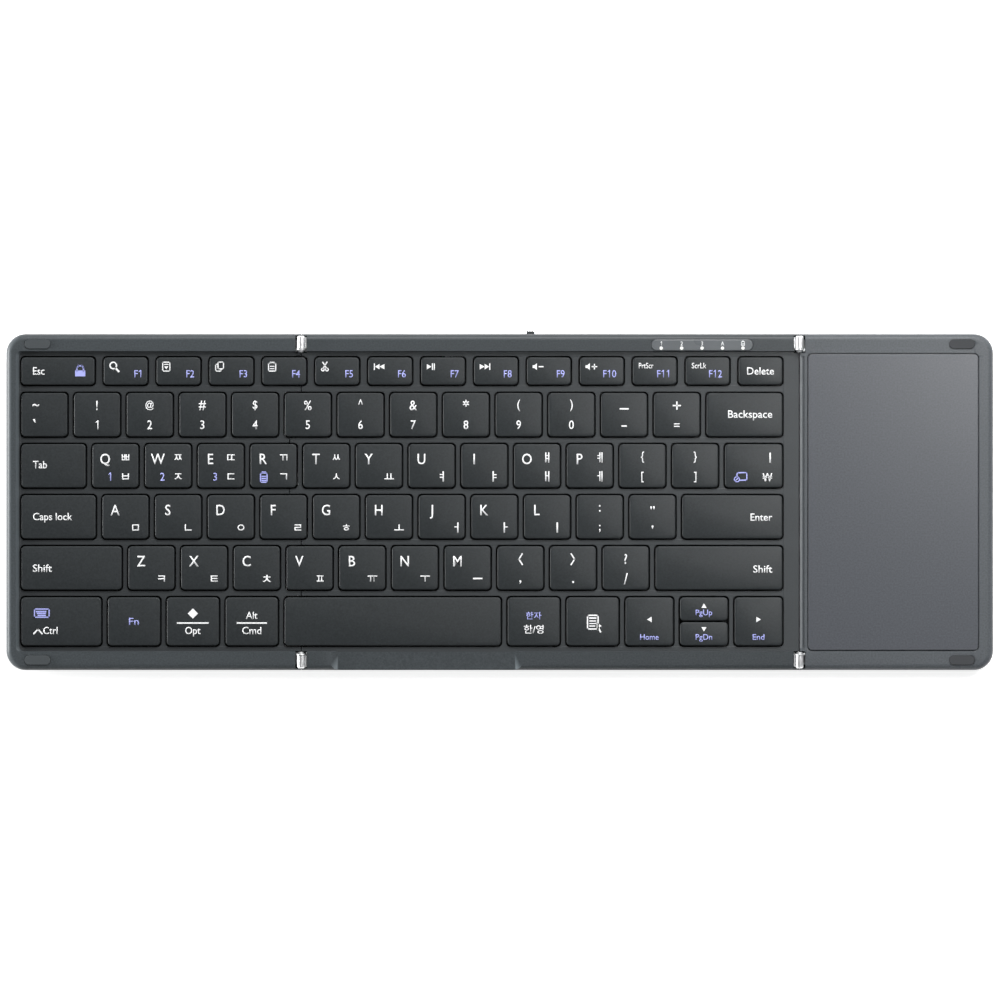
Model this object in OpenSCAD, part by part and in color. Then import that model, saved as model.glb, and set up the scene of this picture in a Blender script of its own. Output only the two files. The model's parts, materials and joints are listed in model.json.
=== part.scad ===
// Folding keyboard in three panels, open and flat on its feet.
// The left key wing and the right touchpad wing each fold up and over onto the middle panel.
// Frame: X to the right, Y to the rear, Z up; the origin is under the middle of the open keyboard.

/* [Panels] */
// Radius of the four outer corners
corner_r = 5.7; // [5:0.1:7]
// Running gap between two panels at a fold
fold_gap = 0.25; // [0.2:0.05:0.4]
// Distance from the left edge of the sixth number opening to the left fold
fold_in = 5.21; // [4.8:0.05:5.5]
// How far the fold line steps to the left beside the letter Q row
fold_jog = 3.4; // [3:0.1:4]

/* [Heights] */
// Height of the rubber feet
foot_h = 0.8; // [0.6:0.1:1.2]
// Thickness of the floor of each bottom cover
floor_t = 1; // [0.8:0.1:1.2]
// Depth inside a bottom cover, floor to support plate
bay_h = 2.6; // [2.6:0.1:3.2]
// Thickness of the steel support plate
plate_t = 0.3; // [0.2:0.05:0.5]
// Thickness of the switch membrane
membrane_t = 0.2; // [0.1:0.05:0.3]
// Height from the membrane to the underside of a key top
key_rise = 2.6; // [2.5:0.1:3]
// Thickness of a key's top
cap_top_t = 1.3; // [1:0.1:1.5]
// Height of a keycap, skirt to top
cap_h = 2.4; // [2.2:0.1:2.5]
// How far the key deck lies below the key tops
deck_drop = 1; // [0.8:0.1:1.2]
// Thickness of the key deck
deck_t = 1; // [0.8:0.1:1.2]
// How far the bezels stand above the key tops
bezel_rise = 0.2; // [0.1:0.05:0.3]
// Height of a hinge axis above the bezels
axis_rise = 0.2; // [0.1:0.05:0.3]

/* [Walls] */
// Thickness of the side walls
wall_t = 1; // [0.8:0.1:1.05]
// Width of the left side bezel
side_bezel = 3.8; // [3.5:0.1:4.2]
// Width of the slope inside the left side bezel
side_slope = 0.9; // [0.6:0.1:1]
// Corner radius of the sunken deck
recess_r = 1.5; // [1:0.1:2]
// Depth of the rear bezel
rear_bezel = 5.27; // [5.2:0.01:5.5]
// Depth of the front bezel
front_bezel = 5.67; // [5.5:0.01:5.9]
// Width of the bezel outside the touchpad
right_bezel = 4.55; // [4:0.05:5]
// Radius of the rounding along the outer top edges
edge_r = 1.8; // [1.4:0.1:1.8]
// Size of the bevel along the outer bottom edges
base_bevel = 0.7; // [0.5:0.1:0.8]

/* [Keys] */
// Key pitch along the letter rows
key_pitch = 15.48; // [15.4:0.02:15.56]
// Width of the Backspace opening
backspace_well_w = 23.16; // [22:0.1:24]
// Rib between two keys of a letter row
key_rib = 1.1; // [1.08:0.02:1.2]
// Rib between two keys of the function row
f_rib = 1.8; // [1.7:0.05:1.9]
// Clear gap between a keycap and the deck round it
key_gap = 0.45; // [0.4:0.05:0.5]
// Rib between two rows of keys
row_rib = 1.35; // [1.3:0.05:1.4]
// Rib between the function row and the number row
f_row_rib = 1.53; // [1.45:0.02:1.6]
// Depth of the openings in the function row
f_well_d = 8.95; // [8.8:0.05:9.1]
// Depth of the openings in the letter rows
letter_well_d = 13.65; // [13.6:0.05:13.7]
// Depth of the openings in the bottom row
bottom_well_d = 15.06; // [14.9:0.02:15.2]
// How much wider the Esc opening is than a letter key's
esc_extra = 8.01; // [7.8:0.01:8.2]
// How much wider the Tab opening is than a letter key's
tab_extra = 5.4; // [5.2:0.05:5.6]
// How much wider the Caps lock opening is than a letter key's
caps_extra = 8.34; // [8.1:0.02:8.5]
// How much wider the left Shift opening is than a letter key's
shift_extra = 15.97; // [15.8:0.01:16.1]
// How much wider the Ctrl opening is than a letter key's
ctrl_extra = 9.95; // [9.7:0.05:10.1]
// How much wider the openings of Fn, Opt, Alt, the language key and the menu key are
mod_extra = 1.82; // [1.7:0.02:1.9]
// Width of the space bar's opening
space_well_w = 64.4; // [62:0.2:67]
// Corner radius of a keycap
cap_r = 1.15; // [1:0.05:1.4]
// Thickness of a keycap's skirt
cap_wall = 0.9; // [0.7:0.05:1]
// Step round the edge of a key's top
cap_bevel = 0.2; // [0.1:0.05:0.3]
// How far a key travels
key_travel = 1.4; // [1:0.1:1.5]
// Deck left free between the key field and the left bezel
side_margin = 0.24; // [0.2:0.02:0.3]
// Deck left free behind and in front of the key field
deck_margin = 1.16; // [1.1:0.02:1.3]
// Deck left free between the key field and the right fold
end_margin = 4.56; // [4:0.1:5]

/* [Key mechanism] */
// Width of the outer scissor frame
link_w = 9; // [8.5:0.1:9.5]
// Length of a scissor frame on a full key
link_l = 8; // [7.5:0.1:8.5]
// Thickness of a scissor frame
link_t = 0.5; // [0.4:0.05:0.6]
// Width of a scissor frame's bars
link_bar = 0.7; // [0.6:0.05:0.8]
// Base radius of a rubber dome
dome_r = 2.2; // [1.8:0.1:2.2]
// Wall of a rubber dome
dome_wall = 0.35; // [0.3:0.05:0.45]
// Thickness of a rubber dome's roof
dome_roof = 0.8; // [0.6:0.1:1]
// Width of a dome's roof, as a share of its foot
dome_taper = 0.55; // [0.5:0.05:0.6]
// Gap between the two crossed scissor frames, both sides together
link_nest = 0.4; // [0.3:0.1:0.5]
// Gap between a scissor frame's ends and the skirt, both sides together
link_gap = 0.3; // [0.2:0.1:0.4]
// Play in height of the scissor frames
link_play = 0.1; // [0.05:0.05:0.15]

/* [Touchpad] */
// Width of the touchpad
pad_w = 49.9; // [47:0.1:50.5]
// Frame in front of the touchpad and behind it
pad_edge = 5.95; // [5.8:0.05:6.5]
// Thickness of the touchpad plate
pad_t = 1; // [0.8:0.1:1.2]
// Corner radius of the touchpad
pad_r = 1.2; // [1:0.1:2]
// Groove round the touchpad
pad_gap = 0.3; // [0.2:0.05:0.4]
// Width of the ledge that carries the touchpad
pad_ledge = 1.6; // [1.3:0.1:1.8]
// Strip between the right fold and the touchpad
pad_margin = 2.55; // [2.4:0.05:3]
// Thickness of the touchpad's circuit board
pad_board_t = 0.8; // [0.6:0.1:1]

// Width of the lip along the right wing's fold edge
lip_w = 0.95; // [0.7:0.05:1]
// Height of the lip below the bezel
lip_drop = 0.3; // [0.2:0.05:0.35]
// Width of the groove beside the lip
lip_groove = 0.35; // [0.25:0.05:0.4]

/* [Hinges] */
// Radius of a hinge barrel
barrel_r = 1.18; // [1.1:0.02:1.25]
// Length of a whole hinge, both knuckles
hinge_l = 4.8; // [4.6:0.1:4.9]
// Length of the wing's knuckle at the inner end
collar_l = 1; // [0.8:0.1:1.2]
// Flare of the wing's knuckle over the barrel
collar_flare = 0.12; // [0.05:0.01:0.15]
// Running gap between the two knuckles
knuckle_gap = 0.1; // [0.05:0.05:0.15]
// Radius of a hinge pin
pin_r = 0.5; // [0.4:0.02:0.55]
// Radial clearance of a hinge pin
pin_clear = 0.03; // [0.02:0.01:0.05]
// Thickness of a hinge leaf
leaf_t = 0.4; // [0.3:0.05:0.5]
// Length of a leaf's foot, from the hinge axis
leaf_foot_l = 6.6; // [6.4:0.1:7]
// Distance of a leaf's screw from the hinge axis
leaf_screw_x = 4.4; // [4.3:0.05:4.6]
// Depth of a leaf's foot below the underside of the bezel
leaf_drop = 1.4; // [1.3:0.05:1.5]
// Rounded length at the outer end of a barrel
barrel_round = 0.4; // [0.3:0.05:0.5]
// Length of the flared rim of the wing's knuckle
collar_rim = 0.3; // [0.2:0.05:0.4]
// Wall round the pin at the tapered tip of the wing's knuckle
collar_tip = 0.2; // [0.15:0.05:0.25]
// How far a leaf reaches along the wing's knuckle
collar_leaf = 0.6; // [0.5:0.05:0.7]
// How far a pin lies below the ends of its bore
pin_in = 0.1; // [0.05:0.05:0.2]
// Wall left behind a hinge at the outer edge
hinge_wall = 0.6; // [0.5:0.05:0.7]
// Gap round a hinge in its slot
slot_gap = 0.2; // [0.15:0.05:0.3]

/* [Fasteners and feet] */
// Radius of a screw's shank
screw_r = 0.7; // [0.6:0.05:0.8]
// Radius of a screw's head
screw_head_r = 1.3; // [1.1:0.05:1.4]
// Height of a screw's head
screw_head_h = 0.5; // [0.4:0.05:0.6]
// Clearance of a screw in its hole
screw_clear = 0.05; // [0.02:0.01:0.1]
// Radius of a screw boss
boss_r = 1.6; // [1.5:0.05:1.7]
// Distance of the wings' screws from the folds
boss_from_fold = 9.5; // [9:0.1:10]
// Distance of the middle panel's left screws from the fold
middle_boss_in = 14.35; // [14:0.05:16]
// Distance of the outer screws from the sides
boss_from_side = 18; // [17.5:0.5:20]
// Clear space between neighbouring parts inside
air = 0.3; // [0.25:0.05:0.35]
// Radius of a rubber foot
foot_r = 3.5; // [3:0.1:4]
// Depth of the seat of a foot or bumper
seat_depth = 0.4; // [0.3:0.05:0.5]
// Length of a bumper pad
bumper_l = 7.6; // [7:0.1:8]
// Width of a bumper pad
bumper_w = 2.8; // [2.6:0.1:3]
// Distance of the bumper pads from the sides
bumper_from_side = 9.3; // [9:0.1:10]
// How far the bumpers lie inside the line of the screws
bumper_in = 0.1; // [0:0.1:0.3]
// Gap left between the bumpers of a folded wing and the panel under it
bumper_gap = 0.05; // [0.05:0.05:0.1]
// Distance of the feet from the outer edges
foot_inset = 13; // [12:0.5:16]
// Distance of the feet from the folds
foot_from_fold = 14; // [12:0.5:18]
// Clearance round a foot or bumper in its seat
seat_gap = 0.08; // [0.05:0.01:0.12]

/* [Electronics] */
// Distance of the first support posts from the left fold
post_from_fold = 12; // [11:0.5:14]
// Spacing of the support posts in the left wing
post_step = 22; // [18:0.5:22]
// Distance of the support posts from the bezels
post_in = 9; // [8:0.5:10]
// Radius of the support posts
post_r = 1.2; // [1:0.1:1.4]
// Distance of the last support posts from the right fold
last_post = 4; // [3.5:0.1:4.5]
// Clearance round the support plates
plate_gap = 0.2; // [0.15:0.05:0.3]
// Width of the battery cell
cell_w = 44; // [40:1:46]
// Depth of the battery cell
cell_d = 30; // [26:1:32]
// Thickness of the battery cell
cell_t = 2.3; // [2:0.1:2.4]
// Width of the control board
board_w = 48; // [46:0.5:49]
// Distance from the rear wall to the control board
board_setback = 3.6; // [3.4:0.1:4]
// Distance of the control board's corner posts from its edges
board_post_in = 4; // [3.5:0.1:5]
// Board left free in front of the flat cables
cable_margin = 2.2; // [2:0.1:3]
// Width of the larger chip on the control board
chip_w = 8; // [6:0.5:9]
// Height of the chips
chip_h = 1; // [0.8:0.1:1]
// Length of a flat cable's socket on the control board
socket_l = 4; // [3:0.5:4]
// Thickness of the circuit boards
board_t = 0.8; // [0.6:0.1:0.8]
// Height of the control board above the floor
board_lift = 0.4; // [0.3:0.05:0.5]
// Width of the charging socket's shell
port_w = 8.94; // [8.8:0.02:9]
// Height of the charging socket's shell
port_h = 3.16; // [3.1:0.02:3.2]
// Length of the charging socket
port_l = 6.5; // [6.2:0.1:6.5]
// Corner radius of the charging socket's shell
port_r = 1.4; // [1.3:0.05:1.5]
// Wall of the charging socket's shell
port_wall = 0.3; // [0.25:0.05:0.35]
// Thickness of the charging socket's back
port_back = 1; // [0.8:0.1:1.2]
// Depth of the charging socket below the rear face
port_in = 0.2; // [0.1:0.05:0.3]
// Height of the charging socket's middle above the board's middle
port_lift = 0.85; // [0.8:0.05:0.9]
// Gap between the charging socket and its opening
port_gap = 0.2; // [0.15:0.05:0.25]
// Width of the contact tongue
tongue_w = 6.6; // [6.4:0.1:6.8]
// Thickness of the contact tongue
tongue_t = 0.7; // [0.6:0.05:0.8]
// Depth of the contact tongue below the shell's mouth
tongue_in = 0.8; // [0.6:0.1:1]
// Place of the charging socket, left of the middle
port_x = -12; // [-14:0.5:-11]
// Width of the switch knob
knob_w = 2.3; // [2:0.1:2.4]
// Travel of the switch knob
knob_travel = 2; // [1.5:0.1:2]
// How far the switch knob stands out of the rear wall
knob_out = 1; // [0.8:0.1:1.2]
// Left edge of the switch knob
knob_x = 7.9; // [7.5:0.1:8.5]
// Height of the switch knob above the board
knob_lift = 0.3; // [0.25:0.05:0.35]
// Depth of the switch knob below the support plate
knob_drop = 0.35; // [0.3:0.05:0.4]
// Gap between the switch knob and the slot in the wall
knob_gap = 0.25; // [0.2:0.05:0.3]
// How far the knob's slider reaches on each side of the knob
slider_side = 0.8; // [0.7:0.05:0.9]
// Depth of the grooves in the switch knob
knob_groove = 0.2; // [0.15:0.05:0.25]
// Width of the switch housing on each side of the slot
housing_side = 1; // [0.8:0.1:1.2]
// Depth of the switch housing over the board
housing_in = 1.2; // [1:0.1:1.4]
// Thickness of the switch housing's front wall
housing_wall = 0.8; // [0.6:0.1:0.9]
// Play of the slider in the switch housing
slider_play = 0.15; // [0.1:0.05:0.2]
// Length of the indicator window
window_l = 30; // [28:0.5:31]
// Width of the indicator window
window_w = 3.4; // [3.2:0.05:3.5]
// Thickness of the indicator window
window_t = 1.6; // [1.5:0.05:1.6]
// Width of the ledge that carries the indicator window
window_ledge = 0.7; // [0.6:0.05:0.8]
// Distance from the sunken deck to the indicator window's middle
window_in = 2; // [1.9:0.05:2.1]
// Distance from the right fold to the indicator window's middle
window_from_fold = 28.6; // [28:0.2:29.2]
// Spacing of the indicator lights
light_pitch = 6; // [5:0.1:6.2]
// Distance of the indicator lights from the window's middle
light_in = 0.9; // [0.8:0.05:1]
// Depth of the indicator lights' board below the deck
light_drop = 1.6; // [1.5:0.05:1.7]
// Width of an indicator light
light_w = 1; // [0.8:0.1:1.2]
// Depth of an indicator light
light_d = 0.8; // [0.7:0.1:0.9]
// Height of an indicator light
light_h = 0.6; // [0.5:0.05:0.7]
// How far the lights' board reaches past the window
light_over = 1.6; // [1.5:0.05:1.8]
// Radius of the posts that carry the lights' board
light_post_r = 0.7; // [0.6:0.05:0.75]
// Width of a flat cable
flex_w = 10; // [8:0.5:11]
// Thickness of a flat cable
flex_t = 0.2; // [0.1:0.05:0.2]
// How far the flat cables' channel reaches on each side of a fold
flex_end = 12; // [11:0.5:13]
// Clearance of a flat cable below the support plate
flex_gap = 0.1; // [0.05:0.05:0.15]
// How far inside its channel the right flat cable turns up
flex_turn = 2; // [1.5:0.5:3]

/* [Thumb recess] */
// Distance from the left fold to the recess
thumb_from_fold = 8.75; // [8:0.25:10]
// Length of the recess in the front bezel
thumb_l = 56.1; // [50:0.5:60]
// Depth of the recess
thumb_drop = 1.2; // [0.8:0.1:1.2]
// Length of the slope at each end
thumb_slope = 2.2; // [1.5:0.1:3]
// How far the recess runs into the key deck
thumb_in = 1.1; // [1:0.05:1.15]

/* [Hidden] */
$fn = 48;
far = 400;
eps = 0.01;
// How far a cut runs past the face that it opens
cut = 1;
ROWS = 6;
EDGE_STEPS = 6;
GROOVES = 3;

// Heights, from the surface that the keyboard stands on
floor_z = foot_h + floor_t;
split_z = floor_z + bay_h;
plate_top_z = split_z + plate_t;
membrane_z = plate_top_z + membrane_t;
cap_roof_z = membrane_z + key_rise;
key_top_z = cap_roof_z + cap_top_t;
cap_low_z = key_top_z - cap_h;
deck_z = key_top_z - deck_drop;
under_z = deck_z - deck_t;
bezel_z = key_top_z + bezel_rise;
axis_z = bezel_z + axis_rise;

// The key field, which gives the open keyboard its width and depth
key_w = key_pitch - key_rib;
field_w = 13 * key_pitch + backspace_well_w;
mod_w = key_w + mod_extra;
f_key_w = (field_w - key_w - esc_extra - 13 * f_rib) / 13;
depths = [f_well_d, letter_well_d, letter_well_d, letter_well_d, letter_well_d, bottom_well_d];
field_d = sum(depths, ROWS) + f_row_rib + 4 * row_rib;
right_wing_w = pad_margin + pad_w + right_bezel;
open_w = side_bezel + side_margin + field_w + end_margin + right_wing_w;
open_d = rear_bezel + front_bezel + 2 * deck_margin + field_d;
field_l = side_bezel + side_margin - open_w / 2;
field_rear = open_d / 2 - rear_bezel - deck_margin;
seam_l = field_l + 5 * key_pitch + fold_in;
seam_r = open_w / 2 - right_wing_w;
field_front = field_rear - field_d;
recess_rear = field_rear + deck_margin;
recess_front = field_front - deck_margin;

// Keys on the left wing in each row, and whose key reaches over the fold line (1: the wing's)
LEFT_KEYS = [5, 5, 5, 5, 4, 4];
WING_OVER = [1, 0, 1, 1, 0, 0];
// Steps of the fold line at the bezels and ribs, rear to front
JOGS = [0, 0, fold_jog, fold_jog, 0, 0, 0];

// Hinges, screws and feet
hinge_out = open_d / 2 - hinge_wall;
leaf_z = under_z - leaf_drop;
leaf_x = barrel_r;
slot_x = leaf_x + leaf_t + slot_gap / 2;
boss_y = open_d / 2 - wall_t - boss_r - air;
rib_inset = 0.15;
bore_extra = 0.4;
board_z = floor_z + board_lift;
board_top = board_z + board_t;
board_rear = open_d / 2 - wall_t - board_setback;
board_d = board_rear + flex_w / 2 + cable_margin;
port_z = board_top - board_t / 2 - port_h / 2 + port_lift;
flex_z = split_z - flex_gap - flex_t;
plate_y = boss_y - boss_r - air;
plate_inset = wall_t + plate_gap;
window_x = seam_r - window_from_fold;
window_y = recess_rear + window_in;
light_y = window_y - light_in;
light_board_z = under_z - light_drop;
bumper_x = open_w / 2 - bumper_from_side;
bumper_y = boss_y - bumper_in;
bumper_top = bezel_z + 2 * axis_rise - bumper_gap;
pad_x = seam_r + pad_margin + pad_w / 2;
pad_d = open_d - 2 * pad_edge;
thumb_x = seam_l + thumb_from_fold;
cell_x = (board_w / 2 + seam_r) / 2;
cell_y = plate_inset - cell_d / 2;
post_y = plate_y - post_in;

LEFT_BOSSES = [seam_l - boss_from_fold, boss_from_side - open_w / 2];
MIDDLE_BOSSES = [seam_l + middle_boss_in, board_w / 2 + boss_r + air, seam_r - boss_from_fold];
RIGHT_BOSSES = [seam_r + boss_from_fold, open_w / 2 - boss_from_side];
// Posts that carry the support plates, beside the board and the battery
board_side = board_w / 2 + (cell_x - cell_w / 2 - board_w / 2) / 2;
MIDDLE_POSTS = concat(
    [for (x = [seam_l + post_from_fold, board_side, seam_r - last_post], y = [-post_y, post_y])
        [x, y]],
    [for (s = [-1, 1]) [seam_l + post_from_fold, s * post_y / 3]],
    [[-board_w / 2, -post_y], [0, -post_y], [cell_x, post_y]]);
LEFT_POSTS = [for (i = [0:3], y = [-post_y, -post_y / 3, post_y / 3, post_y])
    [seam_l - post_from_fold - i * post_step, y]];

function sum(list, n) = n <= 0 ? 0 : list[n - 1] + sum(list, n - 1);
function fill(value, n) = n <= 0 ? [] : [for (i = [1:n]) value];

// The openings of one row from left to right; the last one takes what the others leave
function rib(row) = row == 0 ? f_rib : key_rib;
function left_over(list) = field_w - sum(list, len(list)) - key_rib * len(list);
function ended(list) = concat(list, [left_over(list)]);
function bottom_row() =
    let (first = concat([key_w + ctrl_extra], fill(mod_w, 3), [space_well_w], fill(mod_w, 2)))
    concat(first, fill((left_over(first) - 2 * key_rib) / 3, 3));
WIDTHS = [
    concat([key_w + esc_extra], fill(f_key_w, 13)),
    ended(fill(key_w, 13)),
    ended(concat([key_w + tab_extra], fill(key_w, 12))),
    ended(concat([key_w + caps_extra], fill(key_w, 11))),
    ended(concat([key_w + shift_extra], fill(key_w, 10))),
    bottom_row()];

function row_rear(row) =
    field_rear - sum(depths, row) - (row > 0 ? f_row_rib + (row - 1) * row_rib : 0);
function row_mid(row) = row_rear(row) - depths[row] / 2;
function well_left(row, i) = field_l + sum(WIDTHS[row], i) + i * rib(row);
function well_mid(row, i) = well_left(row, i) + WIDTHS[row][i] / 2;
function well_right(row, i) = well_left(row, i) + WIDTHS[row][i];
function wells(side, row) = side == "left" ? [0:LEFT_KEYS[row] - 1] : [LEFT_KEYS[row]:len(WIDTHS[row]) - 1];

// The stepped fold line, in 13 bands from rear to front: bezel, row, rib, row ... row, bezel.
// A key that reaches over it takes its panel's floor along, with the key's own gap round it.
function wing_reach(row) = let (n = LEFT_KEYS[row])
    WING_OVER[row] == 1 ? well_right(row, n - 1) - key_gap : well_left(row, n);
function middle_reach(row) = let (n = LEFT_KEYS[row])
    WING_OVER[row] == 1 ? well_right(row, n - 1) : well_left(row, n) + key_gap;
function fold_x(side, band) = band % 2 == 0
    ? seam_l - JOGS[band / 2] + (side == "left" ? -1 : 1) * fold_gap / 2
    : side == "left" ? wing_reach((band - 1) / 2) : middle_reach((band - 1) / 2);
function margin(side, row) = (WING_OVER[row] == 1) == (side == "left") ? key_gap : 0;
function fold_y(side, edge) = edge == 0 ? far : edge == 13 ? -far
    : edge % 2 == 1 ? row_rear((edge - 1) / 2) - margin(side, (edge - 1) / 2)
    : row_rear(edge / 2 - 1) - depths[edge / 2 - 1] + margin(side, edge / 2 - 1);
// Inset outlines drop the thin fingers between two keys, because no cavity fits in them
function reach(side, band, inset) =
    let (s = side == "left" ? 1 : -1, x = s * fold_x(side, band))
    inset == 0 || band % 2 == 1 || band == 0 || band == 12 ? x
    : min(x, max(s * fold_x(side, band - 1), s * fold_x(side, band + 1)));
function step_y(side, edge, inset) = edge == 0 || edge == 13 ? fold_y(side, edge)
    : fold_y(side, edge) + inset * sign(reach(side, edge - 1, inset) - reach(side, edge, inset));
function fold_line(side, inset) = [for (band = [0:12], end = [0, 1])
    [reach(side, band, inset) - inset, step_y(side, band + end, inset)]];

// A rectangle with round corners, centred
module rounded(w, d, r) {
    square([w, d - 2 * r], center = true);
    square([w - 2 * r, d], center = true);
    for (sx = [-1, 1], sy = [-1, 1])
        translate([sx * (w / 2 - r), sy * (d / 2 - r)]) circle(r);
}

module stadium(l, w) {
    square([l - w, w], center = true);
    for (s = [-1, 1]) translate([s * (l - w) / 2, 0]) circle(w / 2);
}

// A flat layer of its children from one height to another
module layer(z0, z1) {
    translate([0, 0, z0]) linear_extrude(z1 - z0) children();
}

module block(x0, x1, y0, y1, z0, z1) {
    translate([x0, y0, z0]) cube([x1 - x0, y1 - y0, z1 - z0]);
}

module rod(x, y, z0, z1, r) {
    translate([x, y, z0]) cylinder(h = z1 - z0, r = r);
}

// One panel from above, drawn in by inset from all its edges
module panel(side, inset = 0) {
    intersection() {
        rounded(open_w - 2 * inset, open_d - 2 * inset, corner_r - inset);
        if (side == "left") polygon(concat([[-far, far]], fold_line("left", inset), [[-far, -far]]));
        if (side == "middle") difference() {
            mirror([1, 0]) polygon(concat([[-far, far]], fold_line("middle", inset), [[-far, -far]]));
            translate([seam_r - fold_gap / 2 - inset, -far / 2]) square(far);
        }
        if (side == "right") translate([seam_r + fold_gap / 2 + inset, -far / 2]) square(far);
    }
}

// Takes a profile off the outer edge all round the open keyboard; x = 0 is the edge
module round_edge(profile) {
    straight_w = open_w - 2 * corner_r;
    straight_d = open_d - 2 * corner_r;
    for (a = [0, 180]) rotate([0, 0, a]) {
        translate([straight_w / 2 + eps, open_d / 2, 0]) rotate([90, 0, -90])
            linear_extrude(straight_w + 2 * eps) mirror([1, 0]) polygon(profile);
        translate([open_w / 2, straight_d / 2 + eps, 0]) rotate([90, 0, 0])
            linear_extrude(straight_d + 2 * eps) polygon(profile);
    }
    for (q = [0:3]) {
        sx = q == 0 || q == 3 ? 1 : -1;
        sy = q < 2 ? 1 : -1;
        translate([sx * straight_w / 2, sy * straight_d / 2, 0]) rotate([0, 0, 90 * q])
            rotate_extrude(angle = 90) translate([corner_r, 0]) polygon(profile);
    }
}

module top_rounding() {
    arc = [for (i = [0:EDGE_STEPS]) let (a = 90 * i / EDGE_STEPS)
        [edge_r * (sin(a) - 1), bezel_z + edge_r * (cos(a) - 1)]];
    round_edge(concat([[-edge_r, bezel_z + cut]], arc, [[cut, bezel_z - edge_r], [cut, bezel_z + cut]]));
}

module bottom_bevel() {
    round_edge([[-base_bevel, foot_h - cut], [-base_bevel, foot_h], [0, foot_h + base_bevel],
        [cut, foot_h + base_bevel], [cut, foot_h - cut]]);
}

// Places for what repeats on a panel: hinges at both ends of a fold, screws along both bezels
module at_hinges() {
    for (s = [-1, 1]) scale_y(s) translate([0, hinge_out, 0]) children();
}

module scale_y(s) {
    mirror([0, s < 0 ? 1 : 0, 0]) children();
}

module at_bosses(side) {
    xs = side == "left" ? LEFT_BOSSES : side == "middle" ? MIDDLE_BOSSES : RIGHT_BOSSES;
    for (x = xs, s = [-1, 1]) translate([x, s * boss_y, 0]) children();
}

// The leaf feet of a panel: [x of the axis, way the foot points]
function leaf_places(side) = side == "left" ? [[seam_l, -1]]
    : side == "right" ? [[seam_r, 1]] : [[seam_l, 1], [seam_r, -1]];

module at_leaf_screws(side) {
    for (p = leaf_places(side), s = [-1, 1])
        translate([p[0] + p[1] * leaf_screw_x, s * (hinge_out - hinge_l / 2), 0]) children();
}

// Feet of a panel
function foot_places(side) = let (y = open_d / 2 - foot_inset, out = open_w / 2 - foot_inset)
    [for (x = side == "left" ? [-out, seam_l - foot_from_fold]
        : side == "right" ? [seam_r + foot_from_fold, out]
        : [seam_l + 2 * foot_from_fold, seam_r - 2 * foot_from_fold], s = [-1, 1]) [x, s * y]];

// A bottom cover: floor, low wall, screw holes and foot seats
module bottom_cover(side) {
    difference() {
        union() {
            layer(foot_h, floor_z) panel(side);
            layer(floor_z - eps, split_z) difference() {
                panel(side);
                panel(side, wall_t);
            }
            children(0);
        }
        bottom_bevel();
        at_bosses(side) {
            rod(0, 0, foot_h - cut, foot_h + screw_head_h, screw_head_r + screw_clear);
            rod(0, 0, foot_h, floor_z + cut, screw_r + screw_clear);
        }
        for (p = foot_places(side)) rod(p[0], p[1], foot_h - cut, foot_h + seat_depth, foot_r + seat_gap);
        children(1);
    }
}

// A top frame: skirt, deck and raised bezels, with bosses for the screws from below
module top_frame(side) {
    difference() {
        union() {
            layer(split_z, under_z + eps) difference() {
                panel(side);
                panel(side, wall_t);
            }
            layer(under_z, bezel_z) panel(side);
            if (side != "right") {
                hold_down_ribs(side);
                step_fillets(side);
            }
            at_bosses(side) rod(0, 0, floor_z, under_z + eps, boss_r);
            at_leaf_screws(side) rod(0, 0, leaf_z + leaf_t, under_z + eps, boss_r);
            children(0);
        }
        top_rounding();
        at_bosses(side) rod(0, 0, floor_z - cut, under_z + bore_extra, screw_r + screw_clear);
        at_leaf_screws(side) rod(0, 0, leaf_z, under_z + bore_extra, screw_r + screw_clear);
        for (x = [seam_l, seam_r]) at_hinges() hinge_slot(x);
        children(1);
    }
}

// Ribs between the rows of keys, which hold the membrane and plate down
module hold_down_ribs(side) {
    layer(membrane_z, under_z + eps) intersection() {
        panel(side, wall_t - eps);
        for (row = [1:ROWS - 1])
            translate([-far / 2, row_rear(row) + rib_inset]) square([far, row_rib - 2 * rib_inset]);
    }
}

// Fillets at the corners of the openings whose key comes over from the other panel
module step_fillets(side) {
    r = cap_r + key_gap / 2;
    for (row = [0:ROWS - 1], s = [-1, 1]) if ((WING_OVER[row] == 1) == (side == "middle")) {
        n = LEFT_KEYS[row];
        x = side == "left" ? well_left(row, n) : well_right(row, n - 1);
        translate([x, row_mid(row) + s * depths[row] / 2, 0]) layer(under_z, deck_z)
            mirror([side == "left" ? 0 : 1, 0]) mirror([0, s > 0 ? 1 : 0]) difference() {
                translate([-eps, -eps]) square(r + eps);
                translate([r, r]) circle(r);
            }
    }
}

// The slot for one hinge, with its outer end at y = 0
module hinge_slot(x) {
    block(x - slot_x, x + slot_x, -hinge_l - slot_gap, slot_gap / 2, split_z - cut, far);
}

// The lower deck between the bezels, with sloped walls and round corners
module deck_recess() {
    steep = side_slope / 4;
    x0 = side_bezel - open_w / 2;
    hull() {
        recess_layer(deck_z, x0, 0);
        recess_layer(bezel_z, x0 - side_slope, steep);
        recess_layer(bezel_z + cut, x0 - side_slope, steep);
    }
}

module recess_layer(z, x0, spread) {
    w = seam_r + far / 2 - x0;
    d = recess_rear - recess_front + 2 * spread;
    translate([x0 + w / 2, (recess_rear + recess_front) / 2, 0]) layer(z, z + eps)
        rounded(w, d, recess_r, $fn = 32);
}

module well(row, i) {
    translate([well_mid(row, i), row_mid(row)]) rounded(WIDTHS[row][i], depths[row], cap_r + key_gap / 2);
}

module key_wells(side) {
    layer(split_z - cut, far) for (row = [0:ROWS - 1], i = wells(side, row)) well(row, i);
}

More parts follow.
